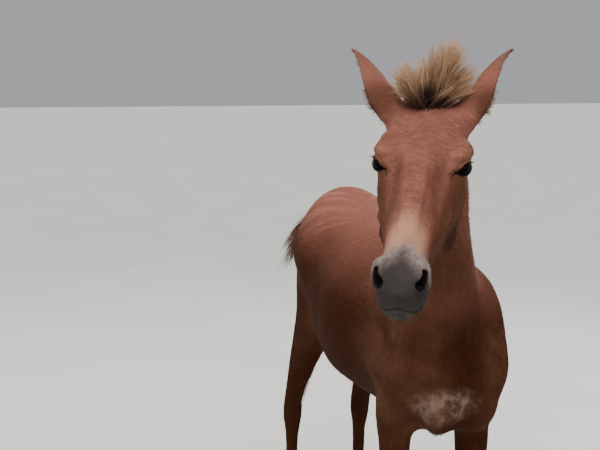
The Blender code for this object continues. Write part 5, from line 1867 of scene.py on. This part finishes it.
class MULE_OT_coat(bpy.types.Operator):
    """Grow the short coat on the skin"""

    bl_idname = "mule.coat"
    bl_label = "Coat"
    bl_options = {"REGISTER", "UNDO"}

    def execute(self, context):
        settings = context.scene.mule
        fur = coat_material(settings)
        for piece in make_coat(skin_object(), settings.coat_length):
            dress(piece, fur, "coat")
        return {"FINISHED"}


class MULE_OT_forelock(bpy.types.Operator):
    """Make the upright forelock"""

    bl_idname = "mule.forelock"
    bl_label = "Forelock"
    bl_options = {"REGISTER", "UNDO"}

    def execute(self, context):
        settings = context.scene.mule
        core = (on_head(0, 0.034, 0.000), (0.054, 0.050, 0.040), tuple(settings.root))
        colours = linear(112, 78, 60), linear(144, 108, 82), tuple(settings.flaxen)
        material = hair_material("forelock_hair", *colours, core)
        dress(make_forelock(settings.forelock_length), material, "hair")
        return {"FINISHED"}


class MULE_OT_mane(bpy.types.Operator):
    """Make the short mane along the crest"""

    bl_idname = "mule.mane"
    bl_label = "Mane"
    bl_options = {"REGISTER", "UNDO"}

    def execute(self, context):
        settings = context.scene.mule
        colours = tuple(settings.root), linear(84, 50, 36), shade(settings.flaxen, 0.55)
        dress(make_mane(settings.mane_length), hair_material("mane_hair", *colours), "hair")
        return {"FINISHED"}


class MULE_OT_tail(bpy.types.Operator):
    """Make the hair of the tail"""

    bl_idname = "mule.tail"
    bl_label = "Tail"
    bl_options = {"REGISTER", "UNDO"}

    def execute(self, context):
        settings = context.scene.mule
        colours = tuple(settings.root), linear(64, 38, 27), linear(116, 80, 58)
        dress(make_tail(), hair_material("tail_strands", *colours), "hair", "tail")
        return {"FINISHED"}


class MULE_OT_ear_hair(bpy.types.Operator):
    """Make the soft hair in and round the ears"""

    bl_idname = "mule.ear_hair"
    bl_label = "Ear Hair"
    bl_options = {"REGISTER", "UNDO"}

    def execute(self, context):
        colours = linear(60, 36, 26), linear(110, 74, 56), linear(182, 144, 120)
        dress(make_ear_fuzz(), hair_material("ear_hair", *colours), "hair")
        return {"FINISHED"}


class MULE_OT_face_hair(bpy.types.Operator):
    """Make the lashes and the whiskers"""

    bl_idname = "mule.face_hair"
    bl_label = "Lashes and Whiskers"
    bl_options = {"REGISTER", "UNDO"}

    def execute(self, context):
        settings = context.scene.mule
        lashes = hair_material("lash_hair", BLACK_SKIN, BLACK_SKIN, linear(50, 34, 28))
        dress(make_lashes(), lashes, "hair")
        greys = (shade(settings.slate, amount) for amount in (0.3, 0.7, 1.2))
        feelers = hair_material("whisker_hair", *greys)
        dress(make_whiskers(skin_object(), settings.whisker_length), feelers, "hair")
        return {"FINISHED"}


class MULE_OT_eyes(bpy.types.Operator):
    """Make both eyeballs"""

    bl_idname = "mule.eyes"
    bl_label = "Eyes"
    bl_options = {"REGISTER", "UNDO"}

    def execute(self, context):
        wet = eye_material()
        for name, hand in SIDES.items():
            dress(make_eye("eyeball_" + name, hand), wet, "eye", "eye_" + name)
        return {"FINISHED"}


class MULE_OT_hooves(bpy.types.Operator):
    """Make the four hooves"""

    bl_idname = "mule.hooves"
    bl_label = "Hooves"
    bl_options = {"REGISTER", "UNDO"}

    def execute(self, context):
        settings = context.scene.mule
        horn = hoof_material(settings)
        for end, (side, along) in HOOF_PLACES.items():
            for name, hand in SIDES.items():
                node = f"hoof_{end}_{name}"
                dress(make_hoof(node + "_wall", hand * side, along), horn, "horn", node)
        return {"FINISHED"}


class MULE_OT_stage(bpy.types.Operator):
    """Set up the floor, the lights and the camera"""

    bl_idname = "mule.stage"
    bl_label = "Studio"
    bl_options = {"REGISTER", "UNDO"}

    def execute(self, context):
        make_stage()
        return {"FINISHED"}


OPERATORS = (
    MULE_OT_skin,
    MULE_OT_coat,
    MULE_OT_forelock,
    MULE_OT_mane,
    MULE_OT_tail,
    MULE_OT_ear_hair,
    MULE_OT_face_hair,
    MULE_OT_eyes,
    MULE_OT_hooves,
    MULE_OT_stage,
)


class MULE_PT_panel(bpy.types.Panel):
    """Sizes, colours and pieces of the mule"""

    bl_idname = "MULE_PT_panel"
    bl_label = "Standing Mule"
    bl_space_type = "VIEW_3D"
    bl_region_type = "UI"
    bl_category = "Mule"

    def draw(self, context):
        for key in MuleSettings.__annotations__:
            self.layout.prop(context.scene.mule, key)
        for operator in OPERATORS:
            self.layout.operator(operator.bl_idname)


CLASSES = (MuleSettings, *OPERATORS, MULE_PT_panel)


def register():
    for cls in CLASSES:
        bpy.utils.register_class(cls)
    bpy.types.Scene.mule = bpy.props.PointerProperty(type=MuleSettings)


def unregister():
    del bpy.types.Scene.mule
    for cls in reversed(CLASSES):
        bpy.utils.unregister_class(cls)


def main():
    register()
    bpy.ops.mule.skin()
    bpy.ops.mule.coat()
    bpy.ops.mule.forelock()
    bpy.ops.mule.mane()
    bpy.ops.mule.tail()
    bpy.ops.mule.ear_hair()
    bpy.ops.mule.face_hair()
    bpy.ops.mule.eyes()
    bpy.ops.mule.hooves()
    bpy.ops.mule.stage()


if __name__ == "__main__":
    main()
